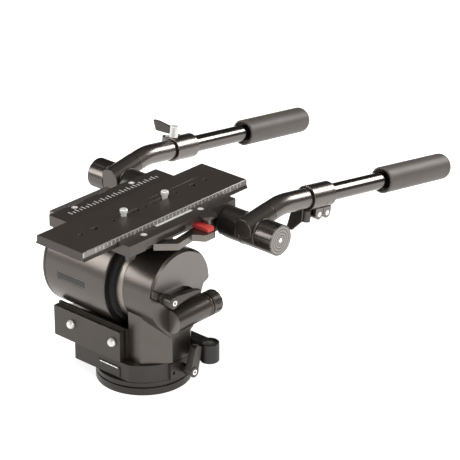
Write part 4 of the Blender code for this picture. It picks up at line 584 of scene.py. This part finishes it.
dress("tilt_lever_screw", socket_screw(0.0030, 0.0012, 0.0009, LOCK_AXIS @ at(0, 0, 0.0698), 48), chrome,
      "tilt_lock_body", "bright_steel")

# Pan lock
# The same kind of painted cast lever, on a stud in the housing's clamp ear. Its flat arm stands up and leans a
# little to the rear, with a small bright screw in the hub.

PAN_LOCK = at(0.053, 0.002, 0.0245)
PAN_LOCK_AXIS = PAN_LOCK @ ALONG_X
pan_stud = [(0, 0.0172), (0.0058, 0.0172), (0.0058, 0.0060), (0.0046, 0.0060), (0.0046, 0.0003),
            (0.0030, 0.0003), (0.0030, -0.0060), (0, -0.0060)]
pan_arm = [(0.0060, 0), (0.0046, 0.0262), (0.0032, 0.0276), (-0.0034, 0.0276), (-0.0048, 0.0262), (-0.0060, 0)]
pan_lever = joined(spun(pan_stud, PAN_LOCK_AXIS, 64, edge=0.0005),
                   slab(pan_arm, 0.0086, 0.0164, "X", PAN_LOCK @ turned(-16, "X"), edge=0.0010))
pan_lever = carved(pan_lever, [rod(0.0032, 0.019, 0.0166, PAN_LOCK_AXIS, 48)])
eased(dress("pan_lever", pan_lever, lever_paint, "pan_lock_body", "dark_paint", "pan_lock_lever"), 0.0005, 2)
dress("pan_lever_screw", socket_screw(0.0030, 0.0010, 0.0008, PAN_LOCK_AXIS @ at(0, 0, 0.0164), 48), chrome,
      "pan_lock_body", "bright_steel")

# Level
# A round vial stands in a black moulded cup on an arm from the neck. The liquid is pale green under clear
# glass, and its ring mark and bubble are drawn in the finish.

level_x = 0.069
level_y = 0.0255
LEVEL = at(level_x, level_y, 0)
black_moulding = moulded_black("black_moulding", (0.006, 0.0055, 0.005), (0.014, 0.013, 0.012), 0.5)
level_arm = [(level_x, 0.0185), (level_x, 0.0325), (0.03665, 0.0325), (0.04887, 0.0185)]
cup = joined(rod(0.0100, 0.0500, 0.0290, LEVEL, 96, 0.0009), slab(level_arm, 0.0392, 0.0492, edge=0.0004))
cup = carved(cup, [rod(0.0074, 0.052, 0.0440, LEVEL)])
eased(dress("level_cup", cup, black_moulding, "pan_group", "dark_paint", "level_bracket"), 0.0006)


def distance(place, axes, centre):
    """How far a place is from a line along the third axis."""
    parts = [place.node("ShaderNodeSeparateXYZ", None, {0: place}, axis) for axis in axes]
    return ((parts[0] - centre[0]) ** 2.0 + (parts[1] - centre[1]) ** 2.0) ** 0.5


def vial_finish(name):
    """Clear cap over pale liquid, with the ring mark and the bubble drawn from the distance to its middle."""
    made, shader, place = new_finish(name)
    reach = distance(place, "XY", (level_x, level_y))
    mark = (reach > 0.0030) * (reach < 0.0034)
    bubble = distance(place, "XY", (level_x + 0.0006, level_y - 0.0005)) < 0.0023
    ripple = place.noise(400.0, 2.0)
    liquid = (ripple * 0.5 + bubble * 0.5).kept().tones((0.045, 0.046, 0.036), (0.11, 0.115, 0.085))
    colours = {0: mark, 6: liquid, 7: (0.02, 0.02, 0.02, 1)}
    ink = place.node("ShaderNodeMix", {"data_type": "RGBA"}, colours, 2)
    wire(shader, place, {"Base Color": ink, "Roughness": 0.08 + ripple * 0.04, "Coat Weight": 0.6})
    return made


glass_outline = [(0, 0.0488), (0.0070, 0.0484), (0.0071, 0.0443), (0, 0.0443)]
dress("level_glass", spun(glass_outline, LEVEL, 64, edge=0.0003), vial_finish("level_vial_finish"), "pan_group",
      "vial_glass", "level_vial")

# Counterbalance drum
# A spun shell tilts with the bed on the axle. A saddle on top of it carries the bed, its outer end is closed by
# a screwed cap with the counterbalance dial, and a long shallow recess in front holds a bare dark plate.

drum_radius = 0.0540
drum = rod(drum_radius, -0.0017, -0.0867, TILT_AXIS, 200, 0.0010)
drum = joined(drum, block((-0.056, -0.040, tilt_z), (-0.009, 0.040, 0.1710)))
recess = softened([(-0.068, 0.10575), (-0.028, 0.10575), (-0.028, 0.11525), (-0.068, 0.11525)], 0.0015, steps=5)
drum = carved(drum, [
    rod(0.049, -0.09, -0.0077, TILT_AXIS, 96),
    rod(0.0154, -0.0100, 0.002, TILT_AXIS, 96),
    slab(recess, -0.056, -0.0532, "Y"),
])
eased(dress("drum_shell", drum, satin_paint, "tilt_group", "satin_grey_paint", "tilt_drum"), 0.0005, 2)
bare_paint = textured_paint("bare_plate_paint", (0.007, 0.006, 0.006), (0.012, 0.011, 0.010), 0.42, 0.0,
                            grain=3000.0, depth=0.08)


def curved_slab(reach, low, high, left, right):
    """A strip that follows the drum's round front between two heights."""
    front = []
    for step in range(13):
        rise = low + (high - low) * step / 12
        front.append((-math.sqrt(reach ** 2 - (rise - tilt_z) ** 2), rise))
    return slab(front + [(-0.0528, high), (-0.0528, low)], left, right, "X")


bare_plate = curved_slab(0.05375, 0.1069, 0.1141, -0.0669, -0.0291)
dress("bare_plate", bare_plate, bare_paint, "tilt_group", "dark_paint")
bare_rim = curved_slab(0.05360, 0.1062, 0.1148, -0.0676, -0.0284)
dress("bare_plate_rim", bare_rim, light_paint, "tilt_group", "light_grey_face")
cap = [(0, -0.0900), (drum_radius, -0.0900), (drum_radius, -0.0870), (0.0487, -0.0870), (0.0487, -0.0840),
       (0.0150, -0.0840), (0.0150, -0.0770), (0.0093, -0.0770), (0.0093, -0.0873), (0, -0.0873)]
dress("drum_end_cap", spun(cap, TILT_AXIS, 160, edge=0.0010), satin_paint, "tilt_group", "satin_grey_paint",
      "drum_cap")
dial_radius = 0.0230
dial = spun([(0, -0.0983), (0.0080, -0.0983), (0.0080, -0.0975), (0.0205, -0.0975), (dial_radius, -0.0983),
             (dial_radius, -0.0903), (0, -0.0903)], TILT_AXIS, 120)
dial_cuts = []
for dial_number in range(24):
    dial_turn = TILT @ turned(15 * dial_number, "X")
    dial_cuts.append(block((-0.0990, 0.0222, -0.0008), (-0.0925, 0.0260, 0.0008), dial_turn))
dial = carved(dial, dial_cuts)
dial_piece = dress("balance_dial_body", dial, dark_paint, "balance_dial_body", "dark_paint", "balance_dial")
eased(dial_piece, 0.0003, 2)

# Bed of the sliding plate
# A milled aluminium bed with a dovetail channel. Its flanges carry flush screws, scale marks on the left and
# a lug for the clamp on the right, and a lighter bar is screwed to its left edge.

bed_paint = textured_paint("bed_paint", (0.078, 0.068, 0.060), (0.108, 0.095, 0.085), 0.38, 0.75, grain=2200.0,
                           depth=0.16)
handle_axis = Vector((-0.0076, 0.0744, 0.1631))
HANDLE_AXIS = Matrix.Translation(handle_axis) @ ALONG_X
bed_low = 0.1713
bed_top = 0.1830
bed_left = -0.0640
bed_right = 0.0488
bed_front = -0.0672
bed_back = 0.0883
plate_low = 0.1782
lug_place = (0.0515, 0.0415)
below = 0.169
above = 0.185
bed_plan = [(bed_left, bed_front), (bed_right, bed_front), (bed_right, bed_back), (bed_left, bed_back)]
lug_plan = arc(lug_place, 0.0095, -80, 80, 24) + [(0.0468, 0.0510), (0.0468, 0.0320)]
foot_side = [(bed_right, 0.1733), (0.0408, 0.1733), (0.0428, 0.1658), (0.0461, 0.1658)]
bed = joined(slab(softened(bed_plan, 0.0012), bed_low, bed_top), slab(lug_plan, 0.1796, 0.1826),
             slab(foot_side, -0.0664, -0.0572, "Y"), block((0.0300, -0.0300, 0.1632), (0.0362, 0.0500, 0.1716)))
channel = [(0.03375, 0.1779), (0.03375, 0.1790), (0.03215, 0.1816), (0.03215, above)]
channel += [(-x, z) for x, z in reversed(channel)]
bed_cuts = [
    slab(channel, -0.2, 0.2, "Y"),
    block((0.0445, -0.0445, below), (0.0600, 0.0180, 0.1796)),
    block((0.0375, 0.0175, below), (0.0600, 0.0560, 0.1796)),
    block((0.0298, -0.0150, 0.1779), (0.0362, 0.0384, above)),
    block((-0.0660, -0.0410, below), (-0.0624, -0.0170, above)),
    block((-0.0660, 0.0020, below), (-0.0624, 0.0160, above)),
    rod(0.0101, 0.0447, 0.0584, HANDLE_AXIS),
    rod(0.0101, -0.0447, -0.0584, HANDLE_AXIS),
]
bed_screws = {
    "platform_screw_1": at(0.0389, -0.0364, 0),
    "platform_screw_2": at(0.0389, 0.0459, 0),
    "platform_screw_3": at(-0.0582, -0.0364, 0),
    "platform_screw_4": at(-0.0582, 0.0459, 0),
}
for bed_screw_place in bed_screws.values():
    bed_cuts.append(rod(0.0037, 0.1798, 0.184, bed_screw_place, 48))
bed = carved(bed, bed_cuts)
eased(dress("plate_bed", bed, bed_paint, "tilt_group", "satin_grey_paint", "platform"), 0.0004, 2)
bed_screw_shape = [(0, 0.1815), (0.0016, 0.1815), (0.0016, 0.1827), (0.0034, 0.1827), (0.0034, 0.1801),
                   (0, 0.1801)]
for bed_screw_name, bed_screw_place in bed_screws.items():
    bed_screw = spun(bed_screw_shape, bed_screw_place, 48, edge=0.0002)
    dress(f"{bed_screw_name}_head", bed_screw, steel_with_painted_reflection, "tilt_group", "bright_steel", bed_screw_name)
edge_bar = block((-0.0731, -0.0580, 0.1720), (-0.0643, 0.0240, 0.1820))
eased(dress("edge_bar", edge_bar, light_paint, "tilt_group", "light_grey_face", "rail_bar"), 0.0009)


def mark_ink(name, low, high):
    """Screen-printed ink: pale, matt and slightly broken at its edges."""
    made, shader, place = new_finish(name)
    wear = place.noise(2400.0, 2.0)
    wire(shader, place, {
        "Base Color": wear.tones(low, high),
        "Roughness": 0.5 + wear * 0.15,
        "Normal": wear.bump(0.1, 0.00005),
    })
    return made


white_ink = mark_ink("white_scale_ink", (0.50, 0.49, 0.47), (0.78, 0.77, 0.75))


def marks(name, boxes, body):
    """Many thin raised marks as one piece."""
    shape = bmesh.new()
    for low, high in boxes:
        made = bmesh.ops.create_cube(shape, size=1)["verts"]
        bmesh.ops.scale(shape, vec=Vector(high) - Vector(low), verts=made)
        bmesh.ops.translate(shape, vec=(Vector(high) + Vector(low)) / 2, verts=made)
    return dress(name, meshed(shape, UP), white_ink, body, "light_grey_face")


left_marks = []
for mark_number in range(28):
    mark_y = -0.0500 + 0.0046 * mark_number
    mark_reach = 0.0068 if mark_number % 2 == 0 else 0.0046
    left_marks.append(((-0.0470 - mark_reach, mark_y - 0.0005, bed_top - 0.00005),
                       (-0.0470, mark_y + 0.0005, bed_top + 0.00008)))
marks("bed_marks", left_marks, "tilt_group")

# Side clamp
# The long bright jaw closes on the plate's dovetail when the cast lever under the flange is swung in. The red
# safety button rides on the lever and springs back.

jaw_top = 0.1828
jaw = slab([(0.03515, plate_low), (0.03515, jaw_top), (0.03215, jaw_top), (0.03215, 0.1819), (0.03405, 0.1790),
            (0.03405, plate_low)], -0.0147, 0.0381, "Y")
eased(dress("jaw", jaw, steel_with_painted_reflection, "clamp_jaw_body", "bright_steel", "clamp_jaw"), 0.0002, 2)
clamp_plan = [(0.0417, -0.0270), (0.0602, -0.0096), (0.0560, 0.0154), (0.0674, 0.0225), (0.0674, 0.0367),
              (0.0558, 0.0479), (0.0430, 0.0415), (0.0469, 0.0154), (0.0502, -0.0031), (0.0369, -0.0194)]
clamp = joined(slab(clamp_plan, 0.1628, 0.1700, edge=0.0020, steps=4),
               rod(0.0057, 0.1793, 0.168, at(*lug_place, 0), 48, 0.0004))
clamp_paint = textured_paint("clamp_lever_paint", (0.150, 0.134, 0.122), (0.205, 0.186, 0.170), 0.30, 0.9,
                             grain=2000.0, depth=0.16)
eased(dress("clamp_arm", clamp, clamp_paint, "clamp_lever_body", "satin_grey_paint", "clamp_lever"), 0.0007)


def red_moulding(name):
    """Red button: smooth moulded plastic with a light sheen and handling marks."""
    made, shader, place = new_finish(name)
    cloud = place.noise(260.0, 3.0)
    grain = place.noise(2600.0, 2.0)
    wire(shader, place, {
        "Base Color": cloud.tones((0.50, 0.035, 0.032), (0.66, 0.070, 0.060)),
        "Roughness": 0.30 + cloud * 0.12,
        "Coat Weight": 0.15,
        "Normal": grain.bump(0.12, 0.00006),
    })
    return made


button_plan = [(0.0440, 0.0272), (0.0662, 0.0272), (0.0662, 0.0362), (0.0440, 0.0362)]
button = slab(button_plan, 0.1703, 0.1749, edge=0.0012, steps=4)
red = red_moulding("red_button_finish")
eased(dress("red_button", button, red, "release_body", "red_plastic", "release_button"), 0.0006)

# Camera plate and its screws
# A long extruded plate, anodised dark, with a row of holes, two undercut slots for the camera screws and a
# white scale along its control side. The screws stand up from the slots with plain bright heads.

plate_finish = textured_paint("anodised_plate", (0.050, 0.041, 0.035), (0.068, 0.057, 0.049), 0.38, 0.45,
                              grain=2600.0, depth=0.12)
plate_front = -0.1142
plate_back = 0.1238
plate_top = 0.1876
plate_half = 0.03175
slot_floor = 0.1812
plate_side = [(0.03335, plate_low), (0.03335, 0.1790), (plate_half, 0.1816), (plate_half, 0.1868),
              (0.0310, plate_top)]
plate_side += [(-x, z) for x, z in reversed(plate_side)]
plate = slab(plate_side, plate_front, plate_back, "Y")


def pill(near, far, radius):
    """Round-ended slot along Y."""
    return arc((0, far), radius, 0, 180, 12) + arc((0, near), radius, 180, 360, 12)


plate_cuts = []
small_hole = 0.0022
large_hole = 0.0033
plate_holes = {0.0048: small_hole, -0.0402: small_hole, 0.0498: small_hole, -0.0662: large_hole,
               0.0758: large_hole, -0.0852: small_hole, 0.0948: small_hole}
for hole_y, hole_radius in plate_holes.items():
    plate_cuts.append(rod(hole_radius, 0.176, 0.190, at(0, hole_y, 0), 32))
for slot_near, slot_far in ((-0.0252, -0.0072), (0.0168, 0.0348)):
    plate_cuts.append(slab(pill(slot_near, slot_far, 0.0056), 0.176, slot_floor))
    plate_cuts.append(slab(pill(slot_near, slot_far, 0.0033), slot_floor - 0.0005, 0.190))
PIN = at(0.02775, plate_front + 0.004, 0)
plate_cuts.append(rod(0.0019, 0.176, 0.1830, PIN, 32))
plate_cuts.append(block((-0.0105, 0.020, 0.1873), (-0.0100, 0.095, 0.19)))
plate = carved(plate, plate_cuts)
plate_piece = eased(dress("long_plate", plate, plate_finish, "plate_body", "dark_paint", "camera_plate"),
                    0.0003, 2)
# The plate's control side takes a much lighter grey than the rest: a painted reflection of the white floor in
# that face.
side_painted_reflection = textured_paint("milled_plate_side", (0.230, 0.210, 0.196), (0.290, 0.265, 0.250), 0.40, 0.6,
                             grain=2600.0, depth=0.10)
repainted(plate_piece, side_painted_reflection, lambda face: face.normal.x > 0.6 and face.center.z > 0.1816)
pin = rod(0.0016, 0.1827, 0.1762, PIN, 32, 0.0003)
dress("plate_pin", pin, chrome, "plate_body", "bright_steel", "stop_pin")
screw_shape = [(0, 0.1948), (0.0034, 0.1948), (0.0041, 0.1940), (0.0041, 0.1910), (0.0029, 0.1905),
               (0.0029, 0.1807), (0.0050, 0.1807), (0.0050, 0.1785), (0, 0.1785)]
for screw_end, screw_y in {"front": -0.0249, "rear": 0.0345}.items():
    camera_screw = spun(screw_shape, at(0, screw_y, 0), 48, edge=0.0003)
    dress(f"camera_screw_{screw_end}_turned", camera_screw, steel_with_painted_reflection, f"{screw_end}_screw_body",
          "bright_steel", f"camera_screw_{screw_end}")
side_marks = []
for mark_number in range(40):
    mark_y = -0.0960 + 0.0054 * mark_number
    mark_low = 0.1822 if mark_number % 2 == 0 else 0.1840
    side_marks.append(((0.03172, mark_y - 0.0005, mark_low), (0.03180, mark_y + 0.0005, 0.1866)))
side_marks.append(((0.03172, -0.1134, 0.1822), (0.03182, -0.1120, 0.1868)))
marks("plate_marks", side_marks, "plate_body")

# Handle mounts and sockets
# On each side a cast boss under the bed ends in a plain round seat. The socket's hub meets it, and a big fluted
# knob with a ringed face draws the two together.


def ringed_face(name):
    """Faced aluminium: fine round tool marks about the knob's own axis."""
    made, shader, place = new_finish(name)
    reach = distance(place, "YZ", (handle_axis.y, handle_axis.z))
    rings = (reach * 2000.0).math("SINE") * 0.5 + 0.5
    fleck = place.noise(1400.0, 2.0)
    wire(shader, place, {
        "Base Color": (rings * 0.75 + fleck * 0.25).kept().tones((0.10, 0.09, 0.083), (0.34, 0.315, 0.295)),
        "Roughness": 0.28 + fleck * 0.1,
        "Metallic": 0.8,
        "Normal": rings.bump(0.25, 0.0001),
    })
    return made


knob_face = ringed_face("knob_face_turned")
knob_paint = textured_paint("knob_paint", (0.085, 0.075, 0.067), (0.115, 0.103, 0.093), 0.24, 0.95,
                            grain=2000.0, depth=0.04, vary=0.3)
boss_paint = textured_paint("boss_paint", (0.030, 0.027, 0.024), (0.048, 0.043, 0.038), 0.32, 0.7)


def lined_up(direction):
    """Frame with Z along the direction and Y as near to up as it can be."""
    z = direction.normalized()
    x = Vector((0, 0, 1)).cross(z).normalized()
    return Matrix((x, z.cross(x), z)).transposed().to_4x4()


def handle_lines(side):
    """Where the tube bends, and its directions before and after."""
    splay = math.radians(1.4) * side
    rise = math.radians(8.8)
    drop = math.radians(8.7)
    before = Vector((math.sin(splay), math.cos(splay) * math.cos(rise), math.sin(rise))).normalized()
    after = Vector((math.sin(splay), math.cos(splay) * math.cos(drop), -math.sin(drop))).normalized()
    return Vector((handle_axis.x + side * 0.095, 0.1129, 0.1798)), before, after


sides = {"right": 1, "left": -1}
horn_radius = 0.0163
horn_root = 0.0098
stud_radius = 0.0040
knob_radius = 0.0162
boss_outline = [(0, 0.0450), (horn_root, 0.0450), (horn_root, 0.0568), (horn_radius, 0.0568),
                (horn_radius, 0.0816), (0.0157, 0.0822), (stud_radius, 0.0822), (stud_radius, 0.1004),
                (0, 0.1004)]
scoop = [(0.0540, -0.0100), (0.0619, -0.0100), (0.0744, -0.0183), (0.0540, -0.0183)]
hub_shape = [(0, 0.1057), (0.0161, 0.1057), (0.0161, 0.0875), (0.0166, 0.0865), (0.0166, 0.0825), (0, 0.0825)]
knob_outline = [(0, 0.1278), (0.0026, 0.1278), (0.0030, 0.1286), (knob_radius, 0.1286), (knob_radius, 0.1060),
                (0, 0.1060)]
for side_name, side in sides.items():
    OUT = Matrix.Translation(handle_axis) @ turned(90 * side, "Y")
    scoop_cut = slab([(side * out, up) for out, up in scoop], -0.018, 0.018, "Y",
                     Matrix.Translation(handle_axis))
    foot_x = sorted((handle_axis.x + side * 0.013, handle_axis.x + side * 0.052))
    boss = joined(carved(spun(boss_outline, OUT, 96, edge=0.0008), [scoop_cut]),
                  block((foot_x[0], 0.0614, 0.1536), (foot_x[1], 0.0874, 0.1710)))
    boss_piece = dress(f"mount_boss_{side_name}", boss, boss_paint, "tilt_group", "dark_paint",
                       f"handle_boss_{side_name}")
    eased(boss_piece, 0.0008)
    bend, before, after = handle_lines(side)
    BEFORE = Matrix.Translation(bend) @ lined_up(before)
    socket = joined(spun(hub_shape, OUT, 96, edge=0.0010), rod(0.0109, -0.0183, -0.0570, BEFORE, 96, 0.0008),
                    rod(0.0090, -0.0123, -0.0200, BEFORE, 64, 0.0004))
    socket = carved(socket, [rod(0.0043, 0.08, 0.1007, OUT, 48)])
    socket_piece = dress(f"socket_{side_name}", socket, satin_paint, f"handle_{side_name}", "satin_grey_paint",
                         f"handle_socket_{side_name}")
    eased(socket_piece, 0.0005, 2, 50)
    knob_cuts = []
    for knob_number in range(8):
        knob_turn = OUT @ turned(45 * (knob_number + 0.25), "Z")
        knob_cuts.append(block((0.0153, -0.0006, 0.1095), (0.018, 0.0006, 0.130), knob_turn))
    knob = carved(spun(knob_outline, OUT, 128, edge=0.0009), knob_cuts)
    knob_piece = dress(f"knob_{side_name}", knob, knob_paint, f"knob_{side_name}", "dark_paint",
                       f"handle_knob_{side_name}")
    eased(knob_piece, 0.0003, 2)
    repainted(knob_piece, knob_face, lambda face: abs(face.normal.x) > 0.95
              and (face.center.x - handle_axis.x) * side > 0.12)
    dress(f"knob_screw_{side_name}", socket_screw(0.0024, 0.0009, 0.0007, OUT @ at(0, 0, 0.1277)), chrome,
          f"knob_{side_name}", "bright_steel")

# Telescopic handles
# Each handle is a bent satin tube, a split clamping collar with its own lever, a glossy black tube that slides
# in it, and a long foam grip with a rounded end.


def swept(path, radius, bore, steps=64):
    """A tube with a bore along a smooth path, as one closed mesh."""
    shape = bmesh.new()
    count = len(path)
    rings = {radius: [], bore: []}
    for number, point in enumerate(path):
        ahead = path[min(number + 1, count - 1)] - path[max(number - 1, 0)]
        turn = lined_up(ahead)
        for reach, found in rings.items():
            circle = []
            for step in range(steps):
                angle = math.tau * step / steps
                spot = turn @ Vector((reach * math.cos(angle), reach * math.sin(angle), 0))
                circle.append(shape.verts.new(point + spot))
            found.append(circle)
    loops = rings[radius] + rings[bore][::-1]
    for low, high in zip(loops, loops[1:] + loops[:1]):
        for step in range(steps):
            after_step = (step + 1) % steps
            shape.faces.new((low[step], low[after_step], high[after_step], high[step]))
    return meshed(shape, UP)


def grip_foam(name):
    """Dense foam rubber: matt, full of fine closed pores, slightly polished by hands."""
    made, shader, place = new_finish(name)
    pores = place.node("ShaderNodeTexVoronoi", None, {"Vector": place, "Scale": 1100.0}, "Distance")
    grain = place.noise(1600.0, 3.0, 0.6)
    cloud = place.noise(55.0, 3.0)
    wire(shader, place, {
        "Base Color": (cloud * 0.5 + grain * 0.5).kept().tones((0.064, 0.054, 0.046), (0.112, 0.096, 0.083)),
        "Roughness": 0.46 + grain * 0.12 - cloud * 0.08,
        "Normal": (grain * 0.7 + pores * 0.5).bump(0.5, 0.0002),
    })
    return made


tube_paint = textured_paint("tube_satin_paint", (0.150, 0.135, 0.122), (0.185, 0.168, 0.153), 0.27, 1.0,
                            grain=2600.0, depth=0.03, vary=0.3)
gloss_tube = turned_steel("black_gloss_tube", (2200.0, 30.0, 2200.0), (0.115, 0.105, 0.097),
                          (0.145, 0.133, 0.123), 0.10)
foam = grip_foam("foam_grip")
tube_radius = 0.0107
tube_bore = 0.0096
slide_bore = 0.0094
seat_bore = 0.0110
collar_reach = 0.0132
collar_outline = [(slide_bore, 0.0729), (collar_reach, 0.0729), (collar_reach, 0.0393), (seat_bore, 0.0393),
                  (seat_bore, 0.0583), (slide_bore, 0.0583)]
lug_out = 0.0178
lug_radius = 0.0058
lug_half = 0.0080
lug_centres = (0.0545, 0.0668)
lever_z = 0.0435
wings = {
    "right": [(-0.0020, 0.0160), (-0.0190, 0.0150), (-0.0240, 0.0400), (-0.0165, 0.0405), (-0.0030, 0.0262)],
    "left": [(0.0020, 0.0160), (0.0250, 0.0150), (0.0300, 0.0259), (0.0220, 0.0262), (0.0030, 0.0240)],
}
lug_rolls = {"right": 180, "left": -90}
lever_rolls = {"right": 180, "left": 0}
lever_hub_finishes = {"right": lever_paint, "left": steel_with_painted_reflection}
grip_radius = 0.0143
grip_line = [(0, 0.2712)] + arc((0.0063, 0.2632), 0.0080, 90, 0, 9)
grip_line += [(grip_radius, 0.1628), (0.0136, 0.1620), (0.0122, 0.1620), (0.0122, 0.1672), (slide_bore, 0.1672),
              (slide_bore, 0.2353), (0, 0.2353)]
for side_name, side in sides.items():
    handle = f"handle_{side_name}"
    bend, before, after = handle_lines(side)
    AFTER = Matrix.Translation(bend) @ lined_up(after)
    path = [bend - before * 0.0180, bend - before * 0.0150]
    for bend_step in range(17):
        share = bend_step / 16
        path.append((bend - before * 0.009 * (1 - share)).lerp(bend + after * 0.009 * share, share))
    path += [bend + after * 0.030, bend + after * 0.0580]
    dress(f"bent_{side_name}", swept(path, tube_radius, tube_bore), tube_paint, handle, "satin_grey_paint",
          f"bent_tube_{side_name}")
    collar = spun(collar_outline, AFTER, 96, ring=True, edge=0.0005)
    LUGS = AFTER @ turned(lug_rolls[side_name], "Z")
    for lug_z in lug_centres:
        lug_side = arc((lug_out, lug_z), lug_radius, -90, 90, 20)
        lug_side += [(0.0112, lug_z + lug_radius), (0.0112, lug_z - lug_radius)]
        collar = joined(collar, slab(lug_side, -lug_half, lug_half, "X", LUGS))
    collar = carved(collar, [block((-0.016, 0.0044, 0.0603), (0.016, 0.0300, 0.0610), LUGS)])
    collar_piece = dress(f"split_collar_{side_name}", collar, tube_paint, handle, "satin_grey_paint",
                         f"collar_{side_name}")
    eased(collar_piece, 0.0006)
    for lug_number, lug_z in enumerate(lug_centres):
        for lug_way, lug_end in ((1, "in"), (-1, "out")):
            lug_face = at(lug_way * (lug_half - 0.0002), lug_out, lug_z) @ turned(90 * lug_way, "Y")
            dress(f"lug_screw_{side_name}_{lug_number}_{lug_end}",
                  socket_screw(0.0029, 0.0009, 0.0006, LUGS @ lug_face), steel_with_painted_reflection, handle, "bright_steel")
    lever_body = f"collar_lever_{side_name}_body"
    LEVER = AFTER @ turned(lever_rolls[side_name], "Z") @ at(0, 0, lever_z)
    clip_hub = rod(0.0047, 0.0260, 0.0135, LEVER @ turned(-90, "X"), 48, 0.0006)
    dress(f"clip_hub_{side_name}", clip_hub, lever_hub_finishes[side_name], lever_body, "bright_steel")
    clip = slab(wings[side_name], -0.0015, 0.0015, "Z", LEVER, edge=0.0010)
    eased(dress(f"clip_lever_{side_name}", clip, lever_paint, lever_body, "bright_steel",
                f"collar_lever_{side_name}"), 0.0005, 2)
    grip_body = f"grip_{side_name}_body"
    dress(f"sliding_tube_{side_name}", rod(0.0091, 0.2350, 0.0460, AFTER, 96, 0.0006), gloss_tube, grip_body,
          "black_anodised_tube", f"inner_tube_{side_name}")
    dress(f"foam_{side_name}", spun(grip_line, AFTER, 96, edge=0.0004), foam, grip_body, "grip_foam",
          f"grip_{side_name}")

# Floor, light and camera
# The head stands alone on a seamless white sweep in a soft box. Broad lamps stand at both sides and overhead,
# one behind draws the streak along the tubes, and the camera looks down from the control side.


def sweep_finish(name):
    """White paper with a faint fleck, which the camera and reflections see lit."""
    made = bpy.data.materials.new(name)
    made.use_nodes = True
    tree = made.node_tree
    tree.nodes.clear()
    place = Shade(tree).node("ShaderNodeTexCoord", None, None, "Object")
    fleck = place.noise(30.0, 2.0).tones((0.80, 0.80, 0.80), (0.83, 0.83, 0.83))
    paper = place.node("ShaderNodeBsdfDiffuse", None, {"Color": fleck})
    glow = place.node("ShaderNodeEmission", None, {"Color": (1, 1, 1, 1), "Strength": 0.70})
    lit = place.node("ShaderNodeAddShader", None, {0: paper, 1: glow})
    seen = place.node("ShaderNodeLightPath", None, None, "Is Camera Ray")
    mirror = place.node("ShaderNodeLightPath", None, None, "Is Glossy Ray")
    both = place.node("ShaderNodeMixShader", None, {0: (seen + mirror).kept(), 1: paper, 2: lit})
    end = tree.nodes.new("ShaderNodeOutputMaterial")
    tree.links.new(both.socket, end.inputs["Surface"])
    return made


floor_half = 6
floor_corners = [(-floor_half, -floor_half, 0), (floor_half, -floor_half, 0), (floor_half, floor_half, 0),
                 (-floor_half, floor_half, 0)]
floor_mesh = bpy.data.meshes.new("sweep")
floor_mesh.from_pydata(floor_corners, [], [(0, 1, 2, 3)])
floor = shown("sweep", floor_mesh)
floor_mesh.materials.append(sweep_finish("sweep_paper"))

world = bpy.data.worlds.new("soft_box")
bpy.context.scene.world = world
world.use_nodes = True
world.node_tree.nodes.clear()
sky = Shade(world.node_tree).node("ShaderNodeTexCoord", None, None, "Generated")
sky_parts = {axis: sky.node("ShaderNodeSeparateXYZ", None, {0: sky}, axis) for axis in ("X", "Y")}
sky_front = (sky_parts["X"] * 0.668 - sky_parts["Y"] * 0.744) * 0.5 + 0.5
sky_strength = sky_front * 0.48 + 0.04
room = sky.node("ShaderNodeBackground", None, {"Color": (1.0, 0.985, 0.97, 1), "Strength": sky_strength})
white = sky.node("ShaderNodeBackground", None, {"Color": (1, 1, 1, 1), "Strength": 1.0})
camera_ray = sky.node("ShaderNodeLightPath", None, None, "Is Camera Ray")
backdrop = sky.node("ShaderNodeMixShader", None, {0: camera_ray, 1: room, 2: white})
world_end = world.node_tree.nodes.new("ShaderNodeOutputWorld")
world.node_tree.links.new(backdrop.socket, world_end.inputs["Surface"])


def lamp(name, place, aim, width, height, power):
    """A flat soft lamp aimed at a point."""
    data = bpy.data.lights.new(name, "AREA")
    data.shape = "RECTANGLE"
    data.size = width
    data.size_y = height
    data.energy = power
    made = shown(name, data)
    made.location = place
    made.rotation_euler = (Vector(aim) - Vector(place)).to_track_quat("-Z", "Y").to_euler()


middle = (0.0, 0.05, 0.11)
lamp("back_box", (0.40, 1.21, 0.74), (0.0, 0.24, 0.17), 0.55, 0.40, 9.0)
lamp("top_box", (-0.10, -0.10, 1.30), middle, 0.8, 0.5, 6.0)
lamp("left_box", (-0.85, -0.85, 0.60), middle, 0.35, 0.6, 6.0)
lamp("right_box", (1.25, -0.35, 0.60), middle, 0.5, 0.8, 7.0)

frame_pixels = 460
focal_pixels = 2241.0
camera_distance = 2.17139
azimuth = math.radians(41.9)
elevation = math.radians(24.99)
camera_data = bpy.data.cameras.new("camera")
camera_data.sensor_width = 36.0
camera_data.lens = focal_pixels / frame_pixels * camera_data.sensor_width
camera_data.clip_start = 0.05
camera = shown("camera", camera_data)
backward = Vector((math.sin(azimuth) * math.cos(elevation), -math.cos(azimuth) * math.cos(elevation),
                   math.sin(elevation)))
camera.location = Vector((0.1198, 0, 0.20023)) + backward * camera_distance
camera.rotation_euler = (-backward).to_track_quat("-Z", "Y").to_euler()
bpy.context.scene.camera = camera
bpy.context.scene.view_settings.view_transform = "Standard"
